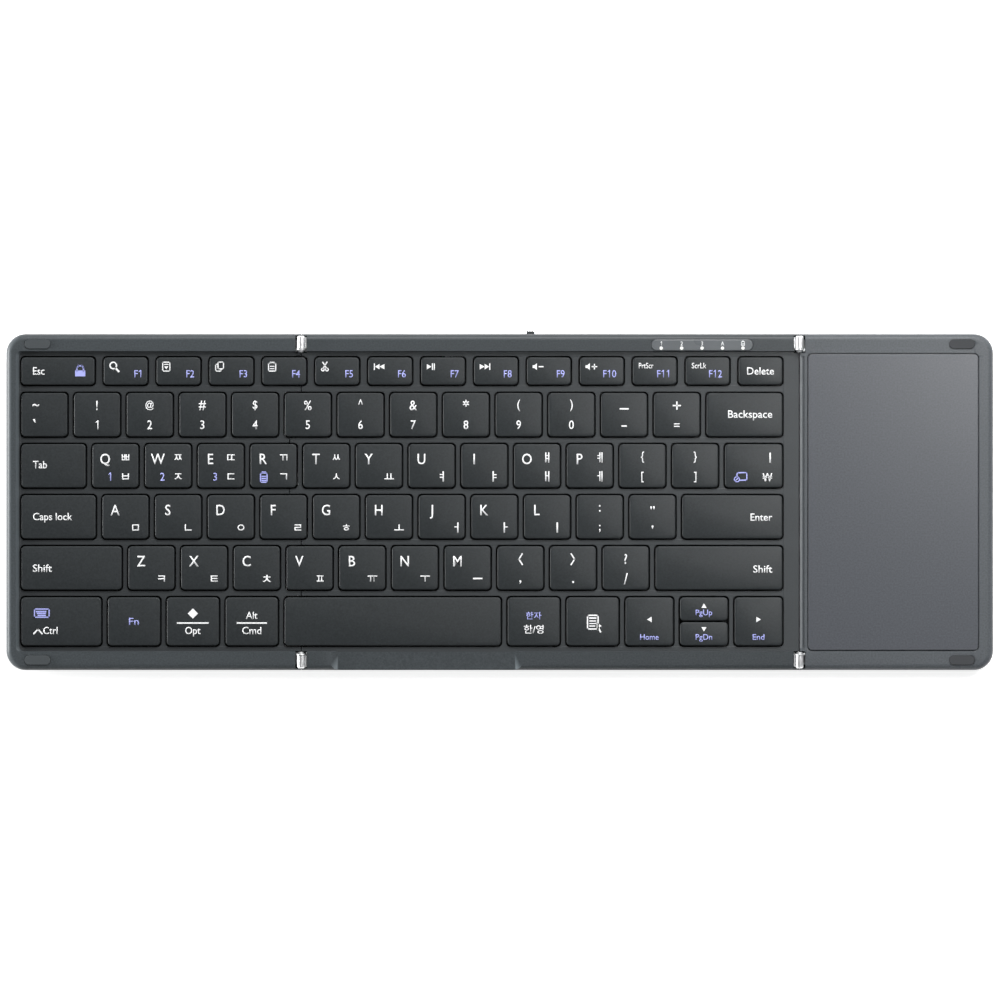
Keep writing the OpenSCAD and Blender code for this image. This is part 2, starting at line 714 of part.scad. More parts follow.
module keycap(w, d) {
    difference() {
        union() {
            layer(cap_low_z, key_top_z - cap_bevel) rounded(w, d, cap_r);
            layer(key_top_z - cap_bevel - eps, key_top_z)
                rounded(w - 2 * cap_bevel, d - 2 * cap_bevel, cap_r - cap_bevel);
        }
        layer(cap_low_z - cut, cap_roof_z) square([w - 2 * cap_wall, d - 2 * cap_wall], center = true);
    }
}

// The keys from one place in a row to another
module keys(row, first, last) {
    color("#33373a") for (i = [first:last])
        translate([well_mid(row, i), row_mid(row), 0])
            keycap(WIDTHS[row][i] - 2 * key_gap, depths[row] - 2 * key_gap);
}

// The up and down keys share one opening
half_key_d = (depths[5] - 3 * key_gap) / 2;
half_key_y = (half_key_d + key_gap) / 2;

// Places and depths of all keys of a panel, for what lies under them
function under_keys(side) = concat(
    [for (row = [0:ROWS - 1], i = wells(side, row)) if (!(row == 5 && i == 8))
        [well_mid(row, i), row_mid(row), depths[row] - 2 * key_gap]],
    side == "middle" ? [for (s = [-1, 1]) [well_mid(5, 8), row_mid(5) + s * half_key_y, half_key_d]] : []);
function link_length(key_d) = min(link_l, key_d - 2 * cap_wall - link_gap);
function link_tilt(length) = asin((key_rise - link_play - link_t) / length);

// A flat frame, tilted about its middle
module link(w, length, tilt) {
    translate([0, 0, (membrane_z + cap_roof_z) / 2]) rotate([tilt, 0, 0])
        translate([0, 0, -link_t / 2]) linear_extrude(link_t) difference() {
            square([w, length], center = true);
            square([w - 2 * link_bar, length - 2 * link_bar], center = true);
        }
}

// The two crossed frames that keep a key level
module scissors(side) {
    color("#d8d8d2") for (k = under_keys(side)) translate([k[0], k[1], 0]) {
        length = link_length(k[2]);
        link(link_w, length, link_tilt(length));
        link(link_w - 2 * link_bar - link_nest, length, -link_tilt(length));
    }
}

// The hollow rubber domes that push the keys up
module domes(side) {
    color("#e6e2da") for (k = under_keys(side)) {
        r = min(dome_r, link_length(k[2]) / 2 - link_bar - link_gap);
        top_r = r * dome_taper;
        translate([k[0], k[1], membrane_z]) difference() {
            cylinder(h = key_rise, r1 = r, r2 = top_r);
            translate([0, 0, -eps])
                cylinder(h = key_rise - dome_roof, r1 = r - dome_wall, r2 = top_r - dome_wall / 2);
        }
    }
}

// The area that the support plate and membrane cover
module plate_area(side) {
    difference() {
        intersection() {
            panel(side, plate_inset);
            square([far, 2 * plate_y], center = true);
        }
        if (side == "middle") translate([port_x, open_d / 2])
            square([port_w + 4 * air, 2 * (port_l + 2 * air)], center = true);
    }
}

module support_plate(side) {
    color("#9a9ea2") layer(split_z, plate_top_z) plate_area(side);
}

module membrane(side) {
    color("#c9d2c0") layer(plate_top_z, membrane_z) plate_area(side);
}

module feet(side) {
    color("#1c1d1e") for (p = foot_places(side)) rod(p[0], p[1], 0, foot_h + seat_depth, foot_r);
}

// Cover screws from below, and the screws of the hinge leaves
module screws(side) {
    color("#8d9094") {
        at_bosses(side) {
            rod(0, 0, foot_h, foot_h + screw_head_h, screw_head_r);
            rod(0, 0, foot_h, under_z, screw_r);
        }
        at_leaf_screws(side) {
            rod(0, 0, leaf_z - screw_head_h, leaf_z, screw_head_r);
            rod(0, 0, leaf_z - screw_head_h, under_z, screw_r);
        }
    }
}

module bumpers(way) {
    color("#232527") for (s = [-1, 1]) translate([way * bumper_x, s * bumper_y, 0])
        layer(bezel_z - seat_depth, bumper_top) stadium(bumper_l, bumper_w);
}

module bumper_seats(way) {
    for (s = [-1, 1]) translate([way * bumper_x, s * bumper_y, 0])
        layer(bezel_z - seat_depth, far) stadium(bumper_l + 2 * seat_gap, bumper_w + 2 * seat_gap);
}

// A turned piece along the hinge axis, from y0 back to y1
module turned(x, y0, y1, r0, r1) {
    translate([x, y0, axis_z]) rotate([90, 0, 0]) cylinder(h = y0 - y1, r1 = r0, r2 = r1);
}

// The bent plate from a knuckle down to its foot under the bezel; way is the side of its panel
module leaf(x, way, y0, y1) {
    a = x + way * leaf_x;
    b = x + way * (leaf_x + leaf_t);
    knuckle_z = axis_z - barrel_r;
    block(min(x, b), max(x, b), y1, y0, knuckle_z, knuckle_z + leaf_t);
    block(min(a, b), max(a, b), y1, y0, leaf_z, knuckle_z + 2 * leaf_t);
    foot_end = x + way * leaf_foot_l;
    difference() {
        block(min(a, foot_end), max(a, foot_end), slot_gap - hinge_l, -wall_t, leaf_z, leaf_z + leaf_t);
        rod(x + way * leaf_screw_x, -hinge_l / 2, leaf_z - cut, leaf_z + cut, screw_r + screw_clear);
    }
}

module pin_bore(x) {
    turned(x, cut, -hinge_l - cut, pin_r + pin_clear, pin_r + pin_clear);
}

// The middle panel's knuckle, with a rounded outer end
module barrel(x, way) {
    inner = -hinge_l + collar_l + knuckle_gap;
    difference() {
        union() {
            turned(x, 0, -barrel_round, barrel_r - barrel_round, barrel_r);
            turned(x, -barrel_round, inner, barrel_r, barrel_r);
            leaf(x, way, -barrel_round, inner);
        }
        pin_bore(x);
    }
}

// A wing's knuckle, flared and then tapered towards the inside
module collar(x, way) {
    outer = -hinge_l + collar_l;
    difference() {
        union() {
            turned(x, outer, outer - collar_rim, barrel_r + collar_flare, barrel_r + collar_flare);
            turned(x, outer - collar_rim, -hinge_l, barrel_r + collar_flare, pin_r + collar_tip);
            leaf(x, way, outer, outer - collar_leaf);
        }
        pin_bore(x);
    }
}

// Middle panel

module middle_bottom_cover() {
    color("#33373a") bottom_cover("middle") {
        union() {
            for (p = MIDDLE_POSTS) rod(p[0], p[1], floor_z - eps, split_z, post_r);
            for (x = [-1, 1], y = [board_post_in, board_d - board_post_in])
                rod(x * (board_w / 2 - board_post_in), board_rear - y, floor_z - eps, board_z, post_r);
        }
        union() {
            switch_slot();
            port_opening();
            flex_notches();
        }
    }
}

module middle_top_frame() {
    color("#3d4245") top_frame("middle") {
        for (s = [-1, 1]) rod(window_x + s * (window_l / 2 + light_over / 2), light_y + light_d / 2,
            light_board_z + board_t, under_z + eps, light_post_r);
        union() {
            deck_recess();
            key_wells("middle");
            thumb_recess();
            port_opening();
            translate([window_x, window_y, 0]) {
                layer(under_z - cut, far) stadium(window_l - 2 * window_ledge, window_w - 2 * window_ledge);
                layer(bezel_z - window_t, far) stadium(window_l + 2 * seat_gap, window_w + 2 * seat_gap);
            }
        }
    }
}

// A shallow dip in the front bezel, with sloped ends, where fingers lift the wings
module thumb_recess() {
    low = bezel_z - thumb_drop;
    translate([thumb_x, recess_front + thumb_in, 0]) rotate([90, 0, 0]) linear_extrude(far)
        polygon([[0, bezel_z + eps], [thumb_slope, low], [thumb_l - thumb_slope, low],
            [thumb_l, bezel_z + eps]]);
}

module middle_support_plate() support_plate("middle");
module middle_membrane() membrane("middle");
module middle_scissors() scissors("middle");
module middle_domes() domes("middle");
module middle_feet() feet("middle");
module middle_screws() screws("middle");

module battery_cell() {
    color("#b9bec4") translate([cell_x - cell_w / 2, cell_y - cell_d / 2, floor_z]) cube([cell_w, cell_d, cell_t]);
}

module control_board() {
    color("#2f6b46") difference() {
        block(-board_w / 2, board_w / 2, board_rear - board_d, board_rear, board_z, board_top);
        block(port_x - port_w / 2 - port_gap, port_x + port_w / 2 + port_gap, open_d / 2 - port_in - port_l - air,
            far, floor_z - cut, far);
    }
    color("#202224") {
        for (c = [[0, chip_w], [-board_w / 4, 0.75 * chip_w]])
            translate([c[0] - c[1] / 2, board_rear - board_d / 2 - c[1] / 2, board_top])
                cube([c[1], c[1], chip_h]);
        for (s = [-1, 1]) translate([s * (board_w / 2 - socket_l / 2), 0, (board_top + flex_z) / 2])
            cube([socket_l, flex_w, flex_z - board_top], center = true);
    }
}

// The charging socket: a drawn steel shell, open to the rear, with a contact tongue
module charging_socket() {
    rear = open_d / 2 - port_in;
    middle = port_z + port_h / 2;
    color("#c4c7ca") translate([port_x, rear, middle]) rotate([90, 0, 0]) {
        linear_extrude(port_l) difference() {
            port_outline();
            port_outline(-port_wall);
        }
        translate([0, 0, port_l - port_back]) linear_extrude(port_back) port_outline(eps - port_wall);
    }
    color("#202224") block(port_x - tongue_w / 2, port_x + tongue_w / 2, rear - port_l + port_back,
        rear - tongue_in, middle - tongue_t / 2, middle + tongue_t / 2);
}

// The shell's outline, grown or drawn in
module port_outline(grow = 0) {
    rounded(port_w + 2 * grow, port_h + 2 * grow, port_r + grow);
}

module port_opening() {
    translate([port_x, far, port_z + port_h / 2]) rotate([90, 0, 0])
        linear_extrude(far - open_d / 2 + port_l - port_back) port_outline(port_gap);
}

// The slide switch: a housing on the board and a knob through the rear wall
knob_low = board_top + knob_lift;
knob_high = split_z - knob_drop;
housing_rear = open_d / 2 - wall_t - plate_gap;
housing_front = board_rear - housing_in;
knob_right = knob_x + knob_w;
slot_side = slider_side + knob_gap;

module power_switch_housing() {
    color("#c4c7ca") difference() {
        block(knob_x - slot_side - housing_side, knob_right + knob_travel + slot_side + housing_side,
            housing_front, housing_rear, board_top, split_z - flex_gap);
        block(knob_x - slot_side, knob_right + knob_travel + slot_side, housing_front + housing_wall, far,
            knob_low - slider_play, knob_high + slider_play);
    }
}

module power_switch_knob() {
    color("#4a4e51") {
        block(knob_x - slider_side, knob_right + slider_side, housing_front + housing_wall + slider_play,
            housing_rear - plate_gap, knob_low, knob_high);
        difference() {
            block(knob_x, knob_right, housing_rear - plate_gap - eps, open_d / 2 + knob_out, knob_low, knob_high);
            for (i = [1:GROOVES]) translate([knob_x + knob_w * (i - 0.25) / (GROOVES + 0.5), 0, 0])
                block(0, knob_w / (2 * GROOVES + 1), open_d / 2 + knob_out - knob_groove, far, 0, far);
        }
    }
}

module switch_slot() {
    block(knob_x - knob_gap, knob_right + knob_travel + knob_gap, open_d / 2 - wall_t - cut, far,
        knob_low - knob_gap, split_z + eps);
}

// A narrow board under the rear bezel with five lights on it
module indicator_lights() {
    color("#2f6b46") block(window_x - window_l / 2 - light_over, window_x + window_l / 2 + light_over,
        light_y - 1.5 * light_d, light_y + 2 * light_d, light_board_z, light_board_z + board_t);
    color("#f4f4ee") for (i = [-2:2]) translate([window_x + i * light_pitch, light_y, light_board_z + board_t])
        translate([-light_w / 2, -light_d / 2, 0]) cube([light_w, light_d, light_h]);
}

module indicator_window() {
    color("#8a8e92") translate([window_x, window_y, 0])
        layer(bezel_z - window_t, bezel_z) stadium(window_l, window_w);
}

// The knuckles that belong to the middle panel, two on each fold
module hinge_barrels() {
    color("#d9dbdd") at_hinges() {
        barrel(seam_l, 1);
        barrel(seam_r, -1);
    }
}

module hinge_pins() {
    color("#a9acb0") for (x = [seam_l, seam_r]) at_hinges() turned(x, -pin_in, pin_in - hinge_l, pin_r, pin_r);
}

// Flat cables from the control board through each fold
module left_flex_cable() {
    color("#b5722e") block(seam_l - flex_end, socket_l - board_w / 2, -flex_w / 2, flex_w / 2,
        flex_z, flex_z + flex_t);
}

module right_flex_cable() {
    end = seam_r + flex_end - flex_turn;
    top = bezel_z - pad_t - pad_board_t;
    color("#b5722e") {
        block(board_w / 2 - socket_l, end, -flex_w / 2, flex_w / 2, flex_z, flex_z + flex_t);
        block(end - flex_t, end, -flex_w / 2, flex_w / 2, flex_z, top);
    }
}

module flex_notches() {
    for (x = [seam_l, seam_r]) block(x - flex_end, x + flex_end, -flex_w / 2 - air, flex_w / 2 + air,
        flex_z - air, split_z + eps);
}

// Left wing

module left_bottom_cover() {
    color("#33373a") bottom_cover("left") {
        for (p = LEFT_POSTS) rod(p[0], p[1], floor_z - eps, split_z, post_r);
        flex_notches();
    }
}

module left_top_frame() {
    color("#3d4245") top_frame("left") {
        union() {}
        union() {
            deck_recess();
            key_wells("left");
            bumper_seats(-1);
        }
    }
}

module left_support_plate() support_plate("left");
module left_membrane() membrane("left");
module left_scissors() scissors("left");
module left_domes() domes("left");
module left_feet() feet("left");
module left_screws() screws("left");
module left_bumpers() bumpers(-1);
module left_hinge_leaves() {
    color("#d9dbdd") at_hinges() collar(seam_l, -1);
}

// Right wing

module right_bottom_cover() {
    color("#33373a") bottom_cover("right") {
        union() {}
        flex_notches();
    }
}

module right_top_frame() {
    color("#4b4f53") top_frame("right") {
        union() {}
        union() {
            translate([pad_x, 0, 0]) {
                layer(bezel_z - pad_t, far) rounded(pad_w + 2 * pad_gap, pad_d + 2 * pad_gap, pad_r + pad_gap);
                layer(under_z - cut, far) square([pad_w - 2 * pad_ledge, pad_d - 2 * pad_ledge], center = true);
            }
            bumper_seats(1);
            fold_lip();
        }
    }
}

// The lowered lip and fine groove along the right wing's fold edge
module fold_lip() {
    edge = seam_r + fold_gap / 2;
    long = hinge_out - hinge_l - slot_gap;
    translate([edge, long - lip_w, 0]) rotate([90, 0, 0]) linear_extrude(2 * (long - lip_w)) polygon([
        [-far, bezel_z - 2.5 * lip_drop], [0, bezel_z - 2.5 * lip_drop], [0.6 * lip_w, bezel_z - lip_drop],
        [lip_w, bezel_z - lip_drop], [lip_w, bezel_z - 2 * lip_drop],
        [lip_w + lip_groove, bezel_z - 2 * lip_drop], [lip_w + lip_groove, far], [-far, far]]);
}

module touchpad_plate() {
    color("#6a6e74") translate([pad_x, 0, 0]) layer(bezel_z - pad_t, bezel_z) rounded(pad_w, pad_d, pad_r);
}

module touchpad_board() {
    color("#2f6b46") translate([pad_x, 0, 0]) layer(bezel_z - pad_t - pad_board_t, bezel_z - pad_t)
        square([pad_w - 2 * pad_ledge - 2 * air, pad_d - 2 * pad_ledge - 2 * air], center = true);
}

module right_feet() feet("right");
module right_screws() screws("right");
module right_bumpers() bumpers(1);
module right_hinge_leaves() {
    color("#d9dbdd") at_hinges() collar(seam_r, 1);
}

// Keys

module esc_key() keys(0, 0, 0);
module function_keys_left() keys(0, 1, 4);
module function_keys_middle() keys(0, 5, 12);
module delete_key() keys(0, 13, 13);
module number_keys_left() keys(1, 0, 4);
module number_keys_middle() keys(1, 5, 12);
module backspace_key() keys(1, 13, 13);
module tab_key() keys(2, 0, 0);
module q_row_keys_left() keys(2, 1, 4);
module q_row_keys_middle() keys(2, 5, 12);
module backslash_key() keys(2, 13, 13);
module caps_lock_key() keys(3, 0, 0);
module a_row_keys_left() keys(3, 1, 4);
module a_row_keys_middle() keys(3, 5, 11);
module enter_key() keys(3, 12, 12);
module left_shift_key() keys(4, 0, 0);
module z_row_keys_left() keys(4, 1, 3);
module z_row_keys_middle() keys(4, 4, 10);
module right_shift_key() keys(4, 11, 11);
module modifier_keys_left() keys(5, 0, 3);
module space_bar() keys(5, 4, 4);
module modifier_keys_middle() keys(5, 5, 6);
module arrow_keys() {
    keys(5, 7, 7);
    keys(5, 9, 9);
    color("#33373a") for (s = [-1, 1]) translate([well_mid(5, 8), row_mid(5) + s * half_key_y, 0])
        keycap(WIDTHS[5][8] - 2 * key_gap, half_key_d);
}

middle_bottom_cover();
middle_top_frame();
middle_support_plate();
middle_membrane();
middle_scissors();
middle_domes();
battery_cell();
control_board();
charging_socket();
power_switch_housing();
power_switch_knob();
indicator_lights();
indicator_window();
middle_feet();
middle_screws();
hinge_barrels();
hinge_pins();
left_flex_cable();
right_flex_cable();
left_bottom_cover();
left_top_frame();
left_support_plate();
left_membrane();
left_scissors();
left_domes();
left_feet();
left_screws();
left_bumpers();
left_hinge_leaves();
right_bottom_cover();
right_top_frame();
touchpad_plate();
touchpad_board();
right_feet();
right_screws();
right_bumpers();
right_hinge_leaves();
esc_key();
function_keys_left();
function_keys_middle();
delete_key();
number_keys_left();
number_keys_middle();
backspace_key();
tab_key();
q_row_keys_left();
q_row_keys_middle();
backslash_key();
caps_lock_key();
a_row_keys_left();
a_row_keys_middle();
enter_key();
left_shift_key();
z_row_keys_left();
z_row_keys_middle();
right_shift_key();
modifier_keys_left();
space_bar();
modifier_keys_middle();
arrow_keys();
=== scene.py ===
"""Dresses a three-panel folding keyboard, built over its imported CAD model, and lights it.

Lengths in the tables are in millimetres; Blender works in metres, so mm() turns one into the other.
"""

import json
import math
from typing import NamedTuple

import bmesh
import bpy
from bpy.props import FloatProperty, FloatVectorProperty, IntProperty, PointerProperty
from mathutils import Matrix, Vector

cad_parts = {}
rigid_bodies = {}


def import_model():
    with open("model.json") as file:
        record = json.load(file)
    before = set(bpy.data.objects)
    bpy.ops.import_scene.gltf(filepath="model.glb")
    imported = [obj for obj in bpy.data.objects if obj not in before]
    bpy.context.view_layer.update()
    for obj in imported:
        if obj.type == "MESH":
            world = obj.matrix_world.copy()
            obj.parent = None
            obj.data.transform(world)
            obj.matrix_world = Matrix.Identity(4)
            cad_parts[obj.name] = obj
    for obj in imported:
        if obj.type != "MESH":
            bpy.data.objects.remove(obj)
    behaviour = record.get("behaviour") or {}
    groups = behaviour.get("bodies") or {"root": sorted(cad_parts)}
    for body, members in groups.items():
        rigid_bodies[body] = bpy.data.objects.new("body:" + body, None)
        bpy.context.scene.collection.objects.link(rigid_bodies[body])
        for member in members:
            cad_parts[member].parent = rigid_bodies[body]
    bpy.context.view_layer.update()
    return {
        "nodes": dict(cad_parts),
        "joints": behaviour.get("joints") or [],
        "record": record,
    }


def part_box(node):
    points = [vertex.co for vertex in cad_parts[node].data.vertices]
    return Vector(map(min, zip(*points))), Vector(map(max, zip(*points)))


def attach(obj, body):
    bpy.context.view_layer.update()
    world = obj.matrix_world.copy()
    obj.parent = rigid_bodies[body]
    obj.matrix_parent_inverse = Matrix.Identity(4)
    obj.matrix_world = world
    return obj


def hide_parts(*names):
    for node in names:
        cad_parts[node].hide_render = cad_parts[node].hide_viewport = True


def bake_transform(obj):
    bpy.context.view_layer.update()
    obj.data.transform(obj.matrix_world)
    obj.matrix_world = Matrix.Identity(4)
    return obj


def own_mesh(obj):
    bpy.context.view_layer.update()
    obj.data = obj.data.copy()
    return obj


bl_info = {
    "name": "Folding keyboard",
    "version": (1, 0, 0),
    "blender": (4, 5, 0),
    "location": "3D View > Sidebar > Keyboard",
    "description": "Keycaps, legends, shells, hinges and lighting of a folding keyboard",
    "category": "Object",
}

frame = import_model()
NODES = frame["nodes"]
BODY_OF = {node: body for body, nodes in frame["record"]["behaviour"]["bodies"].items() for node in nodes}


def mm(value):
    """Millimetres in metres."""
    return value / 1000


def fold_axes():
    """A point on the axis of each joint that turns."""
    return {joint["name"]: Vector(joint["pos_m"]) for joint in frame["joints"] if "pos_m" in joint}


def linear(code):
    """An sRGB hex colour as linear values."""
    parts = [int(code[i:i + 2], 16) / 255 for i in (0, 2, 4)]
    return tuple(p / 12.92 if p <= 0.04045 else ((p + 0.055) / 1.055) ** 2.4 for p in parts)


# Sizes and colours

def length(name, text, value):
    """A length property, given in millimetres."""
    return FloatProperty(name=name, description=text, default=mm(value), min=0, unit="LENGTH", precision=5)


def paint(name, text, code):
    """A colour property, given as an sRGB hex code."""
    return FloatVectorProperty(name=name, description=text, subtype="COLOR", size=3, min=0, max=1,
                               default=linear(code))


def power(name, text, watts):
    """A light's power property."""
    return FloatProperty(name=name, description=text, default=watts, unit="POWER")


class KeySizes(bpy.types.PropertyGroup):
    """Sizes of the keycaps and their legends."""

    corner: length("Corner radius", "Radius of a keycap's upright corners", 1.15)
    corner_steps: IntProperty(name="Corner steps", description="Facets in a keycap's corner", default=5)
    edge: length("Edge rounding", "Rounding of a keycap's top edge", 0.32)
    wall: length("Skirt wall", "Thickness of a keycap's skirt", 0.9)
    roof: length("Top thickness", "Thickness of a keycap's top", 1.3)
    ink: length("Ink thickness", "Height of a printed legend above the cap", 0.02)
    ink_sink: length("Ink depth", "How far a printed legend reaches into the cap", 0.01)
    spread: FloatProperty(name="Letter width", description="Width of the lettering against its height",
                          default=0.86, min=0.5, max=1.2)


class ShellSizes(bpy.types.PropertyGroup):
    """Softened edges of the moulded and pressed parts."""

    shell_edge: length("Shell edge", "Softened edge of the panels", 0.1)
    side_bezel: length("Side bezel", "Width of the raised strip left of the keys", 1.2)
    front_bezel: length("Front bezel", "Width of the raised strip in front of the keys", 5.4)
    pad_edge: length("Touchpad edge", "Softened edge of the touchpad", 0.12)
    metal_edge: length("Metal edge", "Softened edge of the hinges", 0.06)
    bumper_edge: length("Bumper edge", "Rounding of the bumper pads", 0.16)
    foot_edge: length("Foot edge", "Rounding of the rubber feet", 0.25)
    knob_edge: length("Knob edge", "Softened edge of the switch knob", 0.12)
    window_rim: length("Window rim", "Sloped rim of the indicator window", 0.3)
    cable_bend: length("Cable bend", "Half the length of a flat cable that bends at a fold", 6)
    light_pitch: length("Light spacing", "Spacing of the indicator lights", 6)


class Colours(bpy.types.PropertyGroup):
    """Colours of the keyboard."""

    keycap: paint("Keycaps", "Matte plastic of the keycaps", "262A2C")
    bezel: paint("Bezels", "Raised plastic round the keys", "3F4447")
    # The deck's colour is a painted shade: the bezels' plastic darkened for the shade between the keys.
    deck: paint("Deck", "Sunken plastic between the keys", "36393B")
    wing: paint("Touchpad frame", "Plastic round the touchpad", "4D5155")
    cover: paint("Covers", "Plastic of the bottom covers", "34383A")
    pad: paint("Touchpad", "Coated face of the touchpad", "45484E")
    legend: paint("Legends", "White ink of the legends", "FAFBFC")
    layer: paint("Second layer", "Violet ink of the second layer", "ADB2F4")
    rubber: paint("Rubber", "Feet under the panels", "1B1C1D")
    bumper: paint("Bumpers", "Pads in the touchpad frame", "36383B")
    steel: paint("Nickel", "Plating of the hinges", "ECEDEE")
    floor: paint("Floor", "Top of the table under the keyboard", "F7F7F7")


class Studio(bpy.types.PropertyGroup):
    """Camera and lights."""

    view_width: length("View width", "Width that the camera sees at the key tops", 293.64)
    centre_x: FloatProperty(name="Centre X", description="Camera's place to the right", default=mm(0.06),
                            unit="LENGTH", precision=5)
    centre_y: FloatProperty(name="Centre Y", description="Camera's place to the rear", default=mm(0.61),
                            unit="LENGTH", precision=5)
    lens: FloatProperty(name="Lens", description="Focal length of the camera", default=200, unit="CAMERA")
    key_power: power("Key light", "Power of the key light", 8.5)
    side_power: power("Side light", "Power of the right softbox", 3.4)
    fill_power: power("Left light", "Power of the low light at the left", 6)
    corner_power: power("Corner light", "Power of the small light near the right rear corner", 0.7)
    # The table's glow is painted light that thins the shadows; the glow gap is a strip left dark as a painted
    # shade under the left fold.
    glow: FloatProperty(name="Table glow", description="Light that the table itself gives", default=0.75,
                        min=0)
    glow_gap: length("Glow gap", "Half the width of the strip under the left fold that gives no light", 8)
    sky: FloatProperty(name="Sky", description="Strength of the surrounding light", default=0.3, min=0)


def keys():
    """The key sizes of this scene."""
    return bpy.context.scene.keyboard_keys


def shells():
    """The shell sizes of this scene."""
    return bpy.context.scene.keyboard_shells


def colours():
    """The colours of this scene."""
    return bpy.context.scene.keyboard_colours


def studio():
    """The camera and light settings of this scene."""
    return bpy.context.scene.keyboard_studio


# Materials

def add_node(tree, kind, inputs=(), **settings):
    """Adds a node, sets its properties, then sets or links its inputs."""
    made = tree.nodes.new(kind)
    for name, value in settings.items():
        setattr(made, name, value)
    for name, value in dict(inputs).items():
        if isinstance(value, bpy.types.NodeSocket):
            tree.links.new(value, made.inputs[name])
        else:
            made.inputs[name].default_value = value
    return made


def rgba(colour, factor=1):
    """A colour, made lighter or darker, with full alpha."""
    return (*(min(1, part * factor) for part in colour), 1)


def new_material(name):
    """An empty material with its shader, and the object's own coordinates."""
    made = bpy.data.materials.new(name)
    made.use_nodes = True
    tree = made.node_tree
    tree.nodes.clear()
    shader = add_node(tree, "ShaderNodeBsdfPrincipled")
    output = add_node(tree, "ShaderNodeOutputMaterial")
    tree.links.new(shader.outputs["BSDF"], output.inputs["Surface"])
    place = add_node(tree, "ShaderNodeTexCoord").outputs["Object"]
    return made, tree, shader, place


def noise(tree, place, size, detail=2):
    """A noise pattern whose blotches are about size millimetres across."""
    return add_node(tree, "ShaderNodeTexNoise", {"Vector": place, "Scale": 1 / mm(size), "Detail": detail},
                    noise_dimensions="3D").outputs["Fac"]


def spread(tree, value, low, high, start=0, stop=1):
    """Turns a value that runs from start to stop into one that runs from low to high."""
    return add_node(tree, "ShaderNodeMapRange", {"Value": value, "From Min": start, "From Max": stop,
                                                 "To Min": low, "To Max": high}).outputs["Result"]


def mixed(tree, factor, first, second):
    """Mixes two colours by a factor."""
    return add_node(tree, "ShaderNodeMix", {0: factor, 6: first, 7: second}, data_type="RGBA").outputs[2]


def set_grain(tree, shader, place, size, depth, strength):
    """Presses a grain of that size and depth, in millimetres, into the surface."""
    bump = add_node(tree, "ShaderNodeBump", {"Height": noise(tree, place, size), "Distance": mm(depth),
                                             "Strength": strength})
    tree.links.new(bump.outputs["Normal"], shader.inputs["Normal"])


# Moulded plastic: sizes of its blotches and specks in millimetres, and what they do to the look
BLOTCH = 24
SPECK = 0.5
FLECK_TONES = (0.65, 1.4)
ROUGHNESS_DRIFT = 0.06
PLASTIC_SHEEN = 0.38
GRAIN_STRENGTH = 0.5


def moulded_plastic(name, colour, roughness, grain, depth, drift=0.06):
    """Moulded plastic: a spark-eroded grain breaks the highlight, and the colour drifts a little."""
    made, tree, shader, place = new_material(name)
    shader.inputs["Specular IOR Level"].default_value = PLASTIC_SHEEN
    blotches = noise(tree, place, BLOTCH, 3)
    specks = noise(tree, place, SPECK, 1)
    base = mixed(tree, blotches, rgba(colour, 1 - drift), rgba(colour, 1 + drift))
    fleck = spread(tree, specks, *FLECK_TONES)
    shade = add_node(tree, "ShaderNodeVectorMath", {0: base, 1: fleck}, operation="MULTIPLY").outputs[0]
    tree.links.new(shade, shader.inputs["Base Color"])
    polish = spread(tree, specks, roughness - ROUGHNESS_DRIFT, roughness + ROUGHNESS_DRIFT)
    tree.links.new(polish, shader.inputs["Roughness"])
    set_grain(tree, shader, place, grain, depth, GRAIN_STRENGTH)
    return made


def keycap_plastic():
    """ABS keycaps: nearly black, a fine matte grain that glints a little towards the light."""
    return moulded_plastic("keycap_abs", colours().keycap, 0.46, 0.22, 0.012)


# Panel frames, in millimetres: how far under the bezels' top the deck's painted shade ends and the bezels'
# colour begins, how far past the left fold the thumb recess lies, and where the painted highlight at the left
# side ends and is full
DECK_SHADE_BELOW = 1.15
BEZEL_BELOW = 0.9
PAST_FOLD = 2
SIDE_END = 4.5
SIDE_FULL = 3.5
# Size of the deck's grain in millimetres and the tones that it runs through
DECK_GRAIN = 0.6
DECK_FLECKS = (0.9, 1.1)
# Painted light: tones from the left end to the right end; the slopes from no painted highlight to a full one,
# and how bright the painted highlight is
DECK_PAINTED_LIGHT = (0.92, 1.32)
BEZEL_PAINTED_LIGHT = (1.08, 0.8)
PAINTED_HIGHLIGHT_SLOPES = (0.1, 0.4)
SIDE_HIGHLIGHT_SHARE = 0.4
PAINTED_HIGHLIGHT_GAIN = 2.6


def bezel_masks(tree, along, low, top):
    """Where the panel frames are raised and keep the bezels' colour instead of the deck's painted shade, and
    where their front bezel is.
    """
    raised = spread(tree, along["Z"], 0, 1, top - mm(DECK_SHADE_BELOW), top - mm(BEZEL_BELOW))
    for axis, limit in (("X", low.x + shells().side_bezel), ("Y", low.y + shells().front_bezel)):
        strip = add_node(tree, "ShaderNodeMath", {0: along[axis], 1: limit}, operation="LESS_THAN").outputs[0]
        raised = add_node(tree, "ShaderNodeMath", {0: raised, 1: strip}, operation="MAXIMUM").outputs[0]
    return raised, strip


